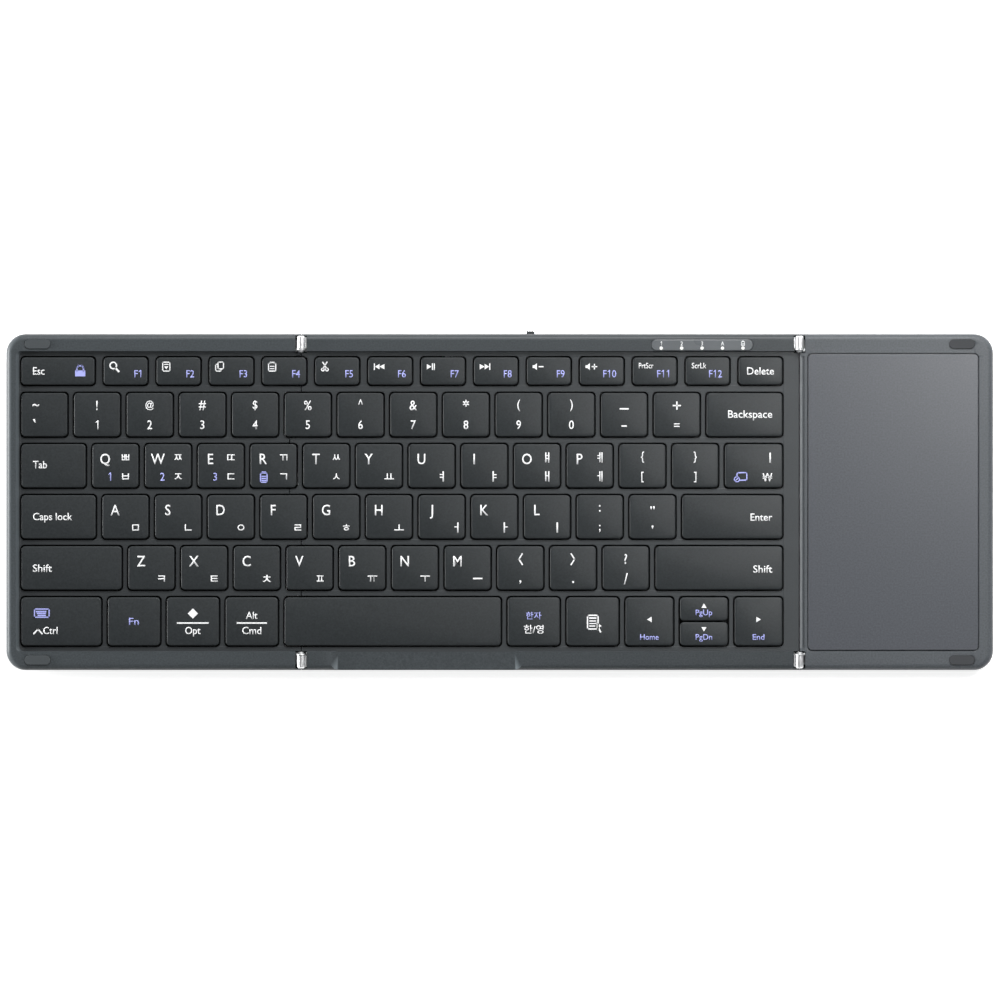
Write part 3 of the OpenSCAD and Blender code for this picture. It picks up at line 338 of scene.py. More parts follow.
def lit_slopes(tree, along, low, front):
    """Where the slopes get a painted highlight: those of the thumb recess and, less, those at the left side.
    """
    normal = add_node(tree, "ShaderNodeNewGeometry").outputs["Normal"]
    sideways = add_node(tree, "ShaderNodeSeparateXYZ", {0: normal}).outputs["X"]
    slope = add_node(tree, "ShaderNodeMath", {0: sideways}, operation="ABSOLUTE").outputs[0]
    painted_highlight = spread(tree, slope, 0, 1, *PAINTED_HIGHLIGHT_SLOPES)
    limit = fold_axes()["left_fold"].x + mm(PAST_FOLD)
    past = add_node(tree, "ShaderNodeMath", {0: along["X"], 1: limit}, operation="GREATER_THAN").outputs[0]
    thumb = add_node(tree, "ShaderNodeMath", {0: past, 1: front}, operation="MULTIPLY").outputs[0]
    side = spread(tree, along["X"], 0, SIDE_HIGHLIGHT_SHARE, low.x + mm(SIDE_END), low.x + mm(SIDE_FULL))
    zone = add_node(tree, "ShaderNodeMath", {0: thumb, 1: side}, operation="MAXIMUM").outputs[0]
    return add_node(tree, "ShaderNodeMath", {0: painted_highlight, 1: zone}, operation="MULTIPLY").outputs[0]


def frame_plastic():
    """ABS panel frames: satin on the raised bezels, a painted shade on the sunken deck, painted highlights on
    some slopes, and painted light from left to right.
    """
    made = moulded_plastic("frame_abs", colours().bezel, 0.42, 0.3, 0.012)
    tree = made.node_tree
    shader = tree.nodes["Principled BSDF"]
    place = next(n for n in tree.nodes if n.type == "TEX_COORD").outputs["Object"]
    along = add_node(tree, "ShaderNodeSeparateXYZ", {0: place}).outputs
    low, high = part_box("left_top_frame")
    # Below the bezels the deck takes a darker colour, a painted shade between the keys.
    raised, front = bezel_masks(tree, along, low, high.z)
    across = spread(tree, along["X"], 0, 1, low.x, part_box("middle_top_frame")[1].x)
    flecks = (rgba(colours().deck, tone) for tone in DECK_FLECKS)
    deck = mixed(tree, noise(tree, place, DECK_GRAIN), *flecks)
    bezel = shader.inputs["Base Color"].links[0].from_socket
    shades = []
    # Painted light: the deck grows lighter and the bezels darker from the left end to the right end.
    for base, tones in ((deck, DECK_PAINTED_LIGHT), (bezel, BEZEL_PAINTED_LIGHT)):
        tone = spread(tree, across, *tones)
        shade = add_node(tree, "ShaderNodeVectorMath", {0: base, 1: tone}, operation="MULTIPLY").outputs[0]
        shades.append(shade)
    # Painted highlights: the chosen slopes take a much brighter bezel colour.
    painted_highlight = lit_slopes(tree, along, low, front)
    colour = mixed(tree, painted_highlight, mixed(tree, raised, *shades), rgba(colours().bezel, PAINTED_HIGHLIGHT_GAIN))
    tree.links.new(colour, shader.inputs["Base Color"])
    return made


def wing_plastic():
    """ABS touchpad frame: the same satin grain in a lighter grey."""
    return moulded_plastic("touchpad_frame_abs", colours().wing, 0.42, 0.3, 0.012)


def cover_plastic():
    """ABS bottom covers: a coarser grain, which hides scratches from the desk."""
    return moulded_plastic("cover_abs", colours().cover, 0.55, 0.5, 0.03)


def touchpad_coating():
    """Touchpad: painted glass-filled sheet, smoother than the frame and softly glossy."""
    made = moulded_plastic("touchpad_paint", colours().pad, 0.36, 0.12, 0.004, 0.03)
    shader = made.node_tree.nodes["Principled BSDF"]
    shader.inputs["Coat Weight"].default_value = 0.5
    shader.inputs["Coat Roughness"].default_value = 0.34
    return made


def rubber(name, colour, grain=0.4):
    """Rubber: dull, with dusty high spots."""
    made, tree, shader, place = new_material(name)
    dust = noise(tree, place, grain, 3)
    tree.links.new(mixed(tree, dust, rgba(colour, 0.85), rgba(colour, 1.2)), shader.inputs["Base Color"])
    tree.links.new(spread(tree, dust, 0.68, 0.85), shader.inputs["Roughness"])
    set_grain(tree, shader, place, grain, 0.02, 0.5)
    return made


def metal(name, colour, roughness, grain=(6, 0.15, 6)):
    """Bare or plated metal: polished along fine lines, whose sizes along X, Y and Z are in millimetres."""
    made, tree, shader, place = new_material(name)
    shader.inputs["Metallic"].default_value = 1
    lines = add_node(tree, "ShaderNodeMapping", {"Vector": place,
                                                 "Scale": [1 / mm(size) for size in grain]}).outputs[0]
    brushed = add_node(tree, "ShaderNodeTexNoise", {"Vector": lines, "Scale": 1.0, "Detail": 2.0}
                       ).outputs["Fac"]
    tree.links.new(mixed(tree, brushed, rgba(colour, 0.9), rgba(colour, 1.05)), shader.inputs["Base Color"])
    tree.links.new(spread(tree, brushed, roughness * 0.7, roughness * 1.3), shader.inputs["Roughness"])
    bump = add_node(tree, "ShaderNodeBump", {"Height": brushed, "Distance": mm(0.003), "Strength": 0.4})
    tree.links.new(bump.outputs["Normal"], shader.inputs["Normal"])
    return made


def ink(name, colour):
    """Screen-printed ink: flat and opaque, thinner in specks."""
    made, tree, shader, place = new_material(name)
    specks = noise(tree, place, 0.35, 2)
    tree.links.new(mixed(tree, specks, rgba(colour, 0.93), rgba(colour)), shader.inputs["Base Color"])
    tree.links.new(spread(tree, specks, 0.5, 0.62), shader.inputs["Roughness"])
    return made


def film(name, colour, roughness=0.35):
    """Polymer film: smooth, with faint waves."""
    made, tree, shader, place = new_material(name)
    waves = noise(tree, place, 9, 2)
    tree.links.new(mixed(tree, waves, rgba(colour, 0.9), rgba(colour, 1.08)), shader.inputs["Base Color"])
    tree.links.new(spread(tree, waves, roughness - 0.08, roughness + 0.08), shader.inputs["Roughness"])
    set_grain(tree, shader, place, 9, 0.05, 0.3)
    return made


def board_resist():
    """Circuit board: green solder resist with paler traces under it and glass weave."""
    made, tree, shader, place = new_material("solder_resist")
    traces = add_node(tree, "ShaderNodeTexBrick", {"Vector": place, "Scale": 1 / mm(2.4), "Mortar Size": 0.05,
                                                   "Color1": rgba(linear("1D4A33")),
                                                   "Color2": rgba(linear("1F5237")),
                                                   "Mortar": rgba(linear("3E7B55"))})
    tree.links.new(traces.outputs["Color"], shader.inputs["Base Color"])
    tree.links.new(spread(tree, noise(tree, place, 0.3), 0.28, 0.42), shader.inputs["Roughness"])
    set_grain(tree, shader, place, 0.3, 0.01, 0.4)
    return made


MAKERS = {
    "keycap_plastic": keycap_plastic,
    "frame_plastic": frame_plastic,
    "touchpad_frame_plastic": wing_plastic,
    "cover_plastic": cover_plastic,
    "touchpad_surface": touchpad_coating,
    "white_ink": lambda: ink("white_ink", colours().legend),
    "violet_ink": lambda: ink("violet_ink", colours().layer),
    "foot_rubber": lambda: rubber("foot_rubber", colours().rubber),
    "bumper_rubber": lambda: rubber("bumper_rubber", colours().bumper),
    "left_bumper_rubber": lambda: rubber("left_bumper_rubber", colours().bezel),
    "dome_rubber": lambda: rubber("dome_silicone", linear("C9C4B8"), 1.2),
    "hinge_metal": lambda: metal("hinge_nickel", colours().steel, 0.42),
    "screw_steel": lambda: metal("screw_steel", linear("8C9094"), 0.3, (0.3, 0.3, 2)),
    "plate_steel": lambda: metal("plate_steel", linear("8B8F93"), 0.4, (8, 0.2, 8)),
    "socket_steel": lambda: metal("socket_nickel", linear("BFC2C5"), 0.25, (0.2, 4, 4)),
    "membrane_film": lambda: film("membrane_polyester", linear("17191A"), 0.5),
    "scissor_plastic": lambda: moulded_plastic("scissor_acetal", linear("1C1E1F"), 0.5, 0.3, 0.01),
    "cell_pouch": lambda: film("cell_laminate", linear("AEB3B8"), 0.3),
    "circuit_board": board_resist,
    "chip_epoxy": lambda: moulded_plastic("chip_epoxy", linear("1A1B1C"), 0.5, 0.2, 0.01),
    "light_lens": lambda: ink("light_lens", linear("F2F4F0")),
    "knob_plastic": lambda: moulded_plastic("knob_abs", linear("35383A"), 0.4, 0.3, 0.01),
    "window_plastic": lambda: film("window_acrylic", linear("5E6265"), 0.3),
    "flex_film": lambda: film("flex_coverlay", linear("191A1B"), 0.4),
}
_made = {}


def material(name):
    """A named material, made when first asked for."""
    if name not in _made:
        _made[name] = MAKERS[name]()
    return _made[name]


# Making pieces

def add_piece(name, mesh, body, *materials):
    """Turns a bmesh into a piece that rides on a body."""
    data = bpy.data.meshes.new(name)
    mesh.to_mesh(data)
    mesh.free()
    for finish in materials:
        data.materials.append(material(finish))
    piece = bpy.data.objects.new(name, data)
    bpy.context.scene.collection.objects.link(piece)
    if body:
        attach(piece, body)
    return piece


def smooth(piece, degrees=35):
    """Shades a piece smooth, up to edges sharper than that."""
    piece.data.shade_smooth()
    piece.data.set_sharp_from_angle(angle=math.radians(degrees))
    return piece


def soften(piece, width, steps=2, degrees=35):
    """Rounds a piece's sharp edges a little."""
    bevel = piece.modifiers.new("soft_edges", "BEVEL")
    bevel.width = width
    bevel.segments = steps
    bevel.limit_method = "ANGLE"
    bevel.angle_limit = math.radians(degrees)
    flat = piece.modifiers.new("flat_faces", "WEIGHTED_NORMAL")
    flat.keep_sharp = True
    flat.weight = 100
    return piece


def merged_copy(node, joined=True):
    """A bmesh of a CAD node with its doubles merged and, where asked, its flat faces joined."""
    mesh = bmesh.new()
    mesh.from_mesh(NODES[node].data)
    bmesh.ops.remove_doubles(mesh, verts=mesh.verts, dist=mm(0.002))
    if joined:
        bmesh.ops.dissolve_limit(mesh, angle_limit=math.radians(0.5), verts=mesh.verts, edges=mesh.edges)
    return mesh


def islands(node):
    """The lowest and highest corners of a CAD node's separate solids, from left to right, then rear first."""
    mesh = merged_copy(node, joined=False)
    left = set(mesh.verts)
    boxes = []
    while left:
        found = [left.pop()]
        for vert in found:
            near = {edge.other_vert(vert) for edge in vert.link_edges} & left
            left -= near
            found.extend(near)
        corners = [Vector(pick(v.co[i] for v in found) for i in range(3)) for pick in (min, max)]
        boxes.append(corners)
    mesh.free()
    return sorted(boxes, key=lambda box: (round(box[0].x, 4), -box[0].y))


def dress(node, slot, edge, steps=2, joined=True):
    """Replaces a CAD node with a copy that has soft edges and a finish."""
    piece = add_piece(node + "_part", merged_copy(node, joined), BODY_OF[node], slot)
    smooth(soften(piece, edge, steps))
    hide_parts(node)
    return piece


def slab(mesh, low, high):
    """Adds a box between two corners and returns its faces."""
    place = Matrix.LocRotScale((low + high) / 2, None, high - low)
    made = bmesh.ops.create_cube(mesh, size=1, matrix=place)
    return list({face for vert in made["verts"] for face in vert.link_faces})


# Keycaps

PRESSES = [joint for joint in frame["record"]["behaviour"]["joints"] if joint["name"].endswith("_press")]
KEY_NODES = [joint["child"] for joint in PRESSES]


def pour(part, mesh):
    """Adds one bmesh to another and frees it."""
    data = bpy.data.meshes.new("part")
    part.to_mesh(data)
    part.free()
    mesh.from_mesh(data)
    bpy.data.meshes.remove(data)


def add_keycap(mesh, low, high):
    """Adds a keycap: round corners, a softened top edge and a hollow underside."""
    cap = bmesh.new()
    slab(cap, low, high)
    upright = [e for e in cap.edges if abs(e.verts[0].co.z - e.verts[1].co.z) > (high.z - low.z) / 2]
    bmesh.ops.bevel(cap, geom=upright, offset=keys().corner, offset_type="OFFSET",
                    segments=keys().corner_steps, profile=0.5, affect="EDGES", material=-1)
    top = max(cap.faces, key=lambda face: face.calc_center_median().z)
    bmesh.ops.bevel(cap, geom=list(top.edges), offset=keys().edge, offset_type="OFFSET", segments=3,
                    profile=0.5, affect="EDGES", material=-1)
    under = min(cap.faces, key=lambda face: face.calc_center_median().z)
    bmesh.ops.inset_region(cap, faces=[under], thickness=keys().wall)
    raised = bmesh.ops.extrude_discrete_faces(cap, faces=[under])["faces"][0]
    bmesh.ops.translate(cap, verts=raised.verts, vec=(0, 0, high.z - low.z - keys().roof))
    pour(cap, mesh)


def under_any(point, boxes):
    """Whether a point lies under one of the boxes."""
    return any(low.x < point.x < high.x and low.y < point.y < high.y for low, high in boxes)


class KEYBOARD_OT_keycaps(bpy.types.Operator):
    """Makes the keycaps over the CAD keys."""

    bl_idname = "keyboard.keycaps"
    bl_label = "Keycaps"

    def execute(self, context):
        for node in KEY_NODES:
            mesh = bmesh.new()
            for low, high in islands(node):
                add_keycap(mesh, low, high)
            piece = smooth(add_piece(node + "_caps", mesh, BODY_OF[node], "keycap_plastic"), 40)
            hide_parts(node)
        return {"FINISHED"}


class KEYBOARD_OT_switches(bpy.types.Operator):
    """Splits the domes and scissor frames by key."""

    bl_idname = "keyboard.switches"
    bl_label = "Key switches"

    def execute(self, context):
        for joint in PRESSES:
            key = joint["child"]
            caps = islands(key)
            panel = "left" if joint["parent"] == "left_wing" else "middle"
            for part, finish in (("domes", "dome_rubber"), ("scissors", "scissor_plastic")):
                node = f"{panel}_{part}"
                mesh = merged_copy(node, joined=False)
                astray = [face for face in mesh.faces if not under_any(face.calc_center_median(), caps)]
                bmesh.ops.delete(mesh, geom=astray, context="FACES")
                piece = add_piece(f"{key}_{part}", mesh, joint["parent"], finish)
                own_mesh(piece)
                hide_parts(node)
        return {"FINISHED"}


# Legends

class Mark(NamedTuple):
    """One printed mark: its text or symbol, its place on the cap and its height, in millimetres.

    side says what x is measured from: the cap's "left" or "right" edge to the mark's near edge, or to
    its middle for "left_mid" and "right_mid", or the cap's middle for "mid". y is the distance of the
    mark's middle below the cap's rear edge. width stretches the mark to that width. A symbol keeps its
    drawn height.
    """

    text: str
    side: str
    x: float
    y: float
    height: float
    width: float = 0
    ink: str = "white"
    kind: str = "word"


# Height of a capital in the font, a 1 with a flag, and how much the ink swells the letters
CAPITAL = 0.686
FLAGGED_ONE = "\U0001D7E3"
INK_SWELL = 0.006
# Middles of the keys in the function row and the bottom row, in millimetres from their rear edge
F_MID = 4.02
BOTTOM_MID = 7.08


def sign(name, y, x=0, side="mid", width=0, ink="white"):
    """A symbol, in its drawn size or stretched to a width."""
    return Mark(name, side, x, y, 0, width, ink, "symbol")


def fit(text, side, x, y, height, width):
    """A white mark stretched to a height and a width."""
    return Mark(text, side, x, y, height, width, kind="fit")


def letter(text, low="", high="", layer="", low_x=3.75, size=(2.0, 1.8), high_size=(2.2, 1.75)):
    """A letter key: the letter at the upper left, its second alphabet at the right."""
    marks = [Mark(text, "left_mid", 3.75, 4.38, 3.05)]
    if low:
        marks.append(fit(low, "right_mid", low_x, 9.5, size[1], size[0]))
        if high:
            high_y = 3.95 if size[1] > 2.5 else 3.9
            marks.append(fit(high, "right_mid", low_x, high_y, high_size[1], high_size[0]))
    if layer:
        marks.append(Mark(layer, "left_mid", 5.1, 9.6, 2.3, ink="violet"))
    return marks


def pair(upper, lower, upper_y=3.65, lower_y=9.35, upper_h=2.85, lower_h=2.6):
    """A key with two marks, one over the other."""
    return [Mark(upper, "mid", 0, upper_y, upper_h, kind="tall"),
            Mark(lower, "mid", 0, lower_y, lower_h, kind="tall")]


def function(number, symbol="", text=""):
    """A function key: its symbol at the upper left and its number in violet at the lower right."""
    marks = [Mark("F" + str(number), "right", 2.2 if number > 9 else 1.8, 4.85, 2.1, ink="violet")]
    if symbol:
        marks.append(sign(symbol, 2.75, 1.65, "left"))
    if text:
        marks.append(Mark(text, "left", 1.75, 2.45, 1.6, 4.3))
    return marks


def arrow(symbol, text, width, y, text_y):
    """An arrow key with its second-layer word below the arrow."""
    return [sign(symbol, y), Mark(text, "mid", 0, text_y, 1.65, width, "violet")]


TALL = (1.2, 3.05)
WIDE = (2.8, 1.75)
LEGENDS = {
    "esc_key": [[Mark("Esc", "left", 3.45, F_MID, 2.2), sign("lock", 3.95, 15.8, "left", ink="violet")]],
    "function_keys_left": [function(1, "search"), function(2, "select"), function(3, "copy"),
                           function(4, "paste")],
    "function_keys_middle": [function(5, "cut"), function(6, "previous"), function(7, "play"),
                             function(8, "next"), function(9, "quieter"), function(10, "louder"),
                             function(11, text="PrtScr"), function(12, text="ScrLk")],
    "delete_key": [[Mark("Delete", "mid", 0, F_MID, 2.15, 7.9)]],
    "number_keys_left": [
        [fit("~", "left", 3.3, 3.6, 0.8, 1.95), fit("`", "left", 3.4, 8.2, 1.05, 0.9)],
        pair("!", "1"), pair("@", "2"), pair("#", "3"), pair("$", "4")],
    "number_keys_middle": [
        pair("%", "5"),
        [fit("^", "mid", 0, 2.65, 1.5, 1.4), Mark("6", "mid", 0, 9.35, 2.6, kind="tall")],
        pair("&", "7"),
        [sign("star", 3.0), Mark("8", "mid", 0, 9.35, 2.6, kind="tall")],
        pair("(", "9", upper_h=3.4), pair(")", "0", upper_h=3.4),
        [sign("minus", 4.65, width=2.7), sign("minus", 9.7, width=1.6)],
        [sign("plus", 3.7), fit("=", "mid", 0, 9.45, 1.0, 1.7)]],
    "backspace_key": [[Mark("Backspace", "right", 2.97, 6.2, 2.2, 13)]],
    "tab_key": [[Mark("Tab", "left", 3.45, 6.05, 2.15, 4.1)]],
    "q_row_keys_left": [letter("Q", "ㅂ", "ㅃ", "1"), letter("W", "ㅈ", "ㅉ", "2"),
                        letter("E", "ㄷ", "ㄸ", "3"),
                        letter("R", "ㄱ", "ㄲ") + [sign("battery", 9.7, 3.9, "left_mid", ink="violet")]],
    "q_row_keys_middle": [
        letter("T", "ㅅ", "ㅆ"), letter("Y", "ㅛ", size=WIDE), letter("U", "ㅕ", size=TALL),
        letter("I", "ㅑ", size=TALL), letter("O", "ㅐ", "ㅒ", size=TALL, high_size=TALL),
        letter("P", "ㅔ", "ㅖ", size=(1.5, 3.05), high_size=(1.5, 3.05)),
        pair("{", "[", 3.85, 9.7, 3.3, 3.1), pair("}", "]", 3.85, 9.7, 3.3, 3.1)],
    "backslash_key": [[fit("|", "right_mid", 3.6, 4.0, 3.0, 0.42), fit("₩", "right_mid", 4.4, 9.75, 2.4, 2.8),
                       sign("pad_off", 9.6, 2.6, "left", ink="violet")]],
    "caps_lock_key": [[Mark("Caps lock", "left", 3.45, 6.3, 2.1, 11.5)]],
    "a_row_keys_left": [letter("A", "ㅁ"), letter("S", "ㄴ"), letter("D", "ㅇ"),
                        letter("F", "ㄹ", low_x=2.5)],
    "a_row_keys_middle": [
        letter("G", "ㅎ"), letter("H", "ㅗ", size=WIDE), letter("J", "ㅓ", low_x=2.4, size=TALL),
        letter("K", "ㅏ", low_x=3.4, size=TALL), letter("L", "ㅣ", size=(0.45, 3.0)),
        pair(":", ";", 3.9, 9.8, 2.0, 2.2),
        [fit("\"", "mid", 0, 3.75, 0.9, 1.3), fit("'", "mid", 0, 9.4, 0.95, 0.5)]],
    "enter_key": [[Mark("Enter", "right", 2.97, 6.45, 2.1, 6.4)]],
    "left_shift_key": [[Mark("Shift", "left", 3.4, 6.45, 2.15, 5.6)]],
    "z_row_keys_left": [letter("Z", "ㅋ"), letter("X", "ㅌ"), letter("C", "ㅊ", size=(2.3, 2.2))],
    "z_row_keys_middle": [
        letter("V", "ㅍ", low_x=3.6), letter("B", "ㅠ", size=WIDE), letter("N", "ㅜ", size=WIDE),
        letter("M", "ㅡ", size=(2.8, 0.45)),
        [sign("angle_left", 3.8), fit(",", "mid", 0, 10.5, 1.0, 0.6)],
        [sign("angle_right", 3.8), sign("dot", 10.5)],
        pair("?", "/", 3.75, 9.55, 3.0, 3.3)],
    "right_shift_key": [[Mark("Shift", "right", 2.97, 6.7, 2.1, 5.6)]],
    "modifier_keys_left": [
        [sign("keyboard", 4.65, 3.7, "left", ink="violet"), sign("caret", 9.95, 3.4, "left"),
         Mark("Ctrl", "left", 6.45, 9.75, 2.1, 4.2)],
        [Mark("Fn", "mid", 0, BOTTOM_MID, 2.05, 2.9, ink="violet")],
        [sign("diamond", 4.75), sign("rule", 7.55, width=9.3), Mark("Opt", "mid", 0, 9.75, 2.1, 4.5)],
        [Mark("Alt", "mid", 0, 5.3, 2.05, 3.4), sign("rule", 7.55, width=8.9),
         Mark("Cmd", "mid", 0, 9.75, 2.1, 5.6)]],
    "modifier_keys_middle": [
        [Mark("한자", "mid", 0, 5.4, 2.2, 4.5, "violet", "fit"),
         fit("한/영", "mid", 0, 9.4, 2.6, 5.75)],
        [sign("menu", 7.7, 0.4)]],
    "arrow_keys": [arrow("left", "Home", 5.4, 6.5, 11.65), arrow("up", "PgUp", 4.85, 2.5, 4.45),
                   arrow("down", "PgDn", 4.85, 2.05, 4.35), arrow("right", "End", 3.45, 6.5, 11.65)],
}


def outline(width, left, top, right, bottom):
    """A drawn rectangle: a line round it from its upper left corner."""
    return "line", width, [(left, top), (right, top), (right, bottom), (left, bottom), (left, top)]


def bar(width, left, right, y=0):
    """A drawn level line."""
    return "line", width, [(left, y), (right, y)]


SPEAKER = ("shape", [(-1.7, 0.4), (-1.7, -0.4), (-1.2, -0.4), (-0.45, -1), (-0.45, 1), (-1.2, 0.4)])
# Symbols in millimetres about their middle: a line of points with a width, dashes, a ring, a disc or a shape
SYMBOLS = {
    "search": [("ring", -0.35, 0.35, 0.95, 0.4), ("line", 0.55, [(0.35, -0.4), (1.2, -1.35)])],
    "select": [outline(0.3, -1.05, 1.3, 1.05, -1.3), bar(0.26, -0.55, 0.55, 0.65),
               ("shape", [(-0.6, 0.1), (0.6, 0.1), (0, -0.8)])],
    "copy": [outline(0.3, -0.45, 1.35, 1.15, -0.65),
             ("line", 0.3, [(-0.75, 0.7), (-1.15, 0.7), (-1.15, -1.3), (0.45, -1.3), (0.45, -0.95)])],
    "paste": [outline(0.32, -1.05, 1, 1.05, -1.3), bar(0.5, -0.45, 0.45, 1.15), bar(0.26, -0.5, 0.5, 0.1),
              bar(0.26, -0.5, 0.5, -0.6)],
    "cut": [("line", 0.35, [(-0.6, 1.3), (0.5, -0.5)]), ("line", 0.35, [(0.6, 1.3), (-0.5, -0.5)]),
            ("ring", -0.6, -0.85, 0.4, 0.3), ("ring", 0.6, -0.85, 0.4, 0.3)],
    "previous": [("line", 0.3, [(-1.4, 0.8), (-1.4, -0.8)]), ("shape", [(-1.2, 0), (0.1, 0.8), (0.1, -0.8)]),
                 ("shape", [(0.15, 0), (1.55, 0.8), (1.55, -0.8)])],
    "play": [("shape", [(-1.15, 0.8), (-1.15, -0.8), (0.2, 0)]), ("line", 0.32, [(0.5, 0.8), (0.5, -0.8)]),
             ("line", 0.32, [(1.05, 0.8), (1.05, -0.8)])],
    "next": [("line", 0.3, [(1.4, 0.8), (1.4, -0.8)]), ("shape", [(1.2, 0), (-0.1, -0.8), (-0.1, 0.8)]),
             ("shape", [(-0.15, 0), (-1.55, -0.8), (-1.55, 0.8)])],
    "quieter": [SPEAKER, bar(0.35, 0.25, 1.35)],
    "louder": [SPEAKER, bar(0.35, 0.25, 1.55), ("line", 0.35, [(0.9, 0.65), (0.9, -0.65)])],
    "lock": [("shape", [(-1.5, 0.1), (-1.5, -1.65), (1.5, -1.65), (1.5, 0.1)]),
             ("line", 0.42, [(-0.95, 0), (-0.95, 0.85), (-0.5, 1.45), (0.5, 1.45), (0.95, 0.85), (0.95, 0)])],
    "battery": [outline(0.35, -0.95, 1.2, 0.95, -1.5), bar(0.4, -0.4, 0.4, 1.45), bar(0.35, -0.5, 0.5, -1),
                bar(0.35, -0.5, 0.5, -0.4), bar(0.35, -0.5, 0.5, 0.2)],
    "pad_off": [("line", 0.35, [(-1.1, 0), (-1.1, 1.2), (1.75, 1.2), (1.75, -1), (-0.1, -1)]),
                ("ring", -1.15, -0.75, 0.75, 0.28), ("line", 0.28, [(-1.65, -1.2), (-0.65, -0.3)])],
    "keyboard": [outline(0.35, -2.15, 1.2, 2.15, -1.2), ("dash", 0.45, [(-1.5, 0.45), (1.6, 0.45)]),
                 ("dash", 0.45, [(-1.2, -0.1), (1.4, -0.1)]), bar(0.4, -1, 1, -0.7)],
    "menu": [outline(0.4, -1.9, 2.4, 1.2, -1.6), bar(0.45, -1.2, 0.5, 1.6), bar(0.35, -1.2, 0.5, 0.75),
             bar(0.3, -1.2, 0.5), bar(0.35, -1.2, 0.2, -0.75),
             ("shape", [(0.8, 0.4), (0.8, -1.9), (2.2, -0.7)]), ("line", 0.45, [(1.4, -1.4), (1.9, -2.4)])],
    "cell": [outline(0.16, -0.45, 0.55, 0.45, -0.6), bar(0.18, -0.15, 0.15, 0.72),
             bar(0.2, -0.2, 0.2, -0.15)],
    "angle_left": [("line", 0.38, [(0.55, 1.55), (-0.45, 0), (0.55, -1.55)])],
    "angle_right": [("line", 0.38, [(-0.55, 1.55), (0.45, 0), (-0.55, -1.55)])],
    "caret": [("line", 0.42, [(-1.2, -0.7), (0, 0.6), (1.2, -0.7)])],
    "diamond": [("shape", [(0, 1.5), (-1.5, 0), (0, -1.5), (1.5, 0)])],
    "rule": [bar(0.42, -4.65, 4.65)],
    "minus": [bar(0.42, -1.35, 1.35)],
    "plus": [bar(0.42, -1, 1), ("line", 0.42, [(0, 1), (0, -1)])],
    "dot": [("disc", 0, 0, 0.3)],
    "lamp": [("disc", 0, 0, 0.5)],
    "star": [("line", 0.36, [(0, 0.8), (0, -0.8)]), ("line", 0.36, [(-0.7, 0.4), (0.7, -0.4)]),
             ("line", 0.36, [(-0.7, -0.4), (0.7, 0.4)])],
    "left": [("shape", [(-0.7, 0), (0.65, -0.8), (0.65, 0.8)])],
    "right": [("shape", [(0.7, 0), (-0.65, 0.8), (-0.65, -0.8)])],
    "up": [("shape", [(0, 0.7), (-0.75, -0.6), (0.75, -0.6)])],
    "down": [("shape", [(0, -0.7), (0.75, 0.6), (-0.75, 0.6)])],
}
DASHES = 5
RING_SIDES = 20


def print_text(text):
    """The outline of a text as a printed layer, one unit tall, from the origin."""
    curve = bpy.data.curves.new("print", "FONT")
    curve.body = text.replace("1", FLAGGED_ONE)
    curve.resolution_u = 3
    curve.offset = INK_SWELL
    holder = bpy.data.objects.new("print", curve)
    data = bpy.data.meshes.new_from_object(holder)
    bpy.data.objects.remove(holder)
    bpy.data.curves.remove(curve)
    mesh = bmesh.new()
    mesh.from_mesh(data)
    bpy.data.meshes.remove(data)
    return mesh


def add_stroke(mesh, width, points):
    """Adds a flat line of that width along the points."""
    for start, end in zip(points, points[1:]):
        start, end = Vector(start), Vector(end)
        along = (end - start).normalized() * width / 2
        across = along.orthogonal()
        corners = (start - along + across, start - along - across, end + along - across, end + along + across)
        mesh.faces.new([mesh.verts.new((*corner, 0)) for corner in corners])


def add_ring(mesh, x, y, radius, width):
    """Adds a flat ring."""
    loops = []
    for r in (radius - width / 2, radius + width / 2):
        made = bmesh.ops.create_circle(mesh, segments=RING_SIDES, radius=r,
                                       matrix=Matrix.Translation((x, y, 0)))
        loops += {edge for vert in made["verts"] for edge in vert.link_edges}
    bmesh.ops.bridge_loops(mesh, edges=loops)


def print_symbol(name):
    """A symbol as a flat printed shape about the origin, in millimetres."""
    mesh = bmesh.new()
    for kind, *values in SYMBOLS[name]:
        if kind == "line":
            add_stroke(mesh, *values)
        if kind == "dash":
            width, (start, end) = values
            step = (Vector(end) - Vector(start)) / DASHES
            for i in range(DASHES):
                first = Vector(start) + step * i
                add_stroke(mesh, width, [first, first + step * 0.2])
        if kind == "ring":
            add_ring(mesh, *values)
        if kind == "disc":
            x, y, radius = values
            bmesh.ops.create_circle(mesh, cap_ends=True, segments=RING_SIDES, radius=radius,
                                    matrix=Matrix.Translation((x, y, 0)))
        if kind == "shape":
            mesh.faces.new([mesh.verts.new((*point, 0)) for point in values[0]])
    return mesh


def flat_box(mesh):
    """The lowest and highest corners of a flat mesh."""
    return [Vector(pick(v.co[i] for v in mesh.verts) for i in range(2)) for pick in (min, max)]


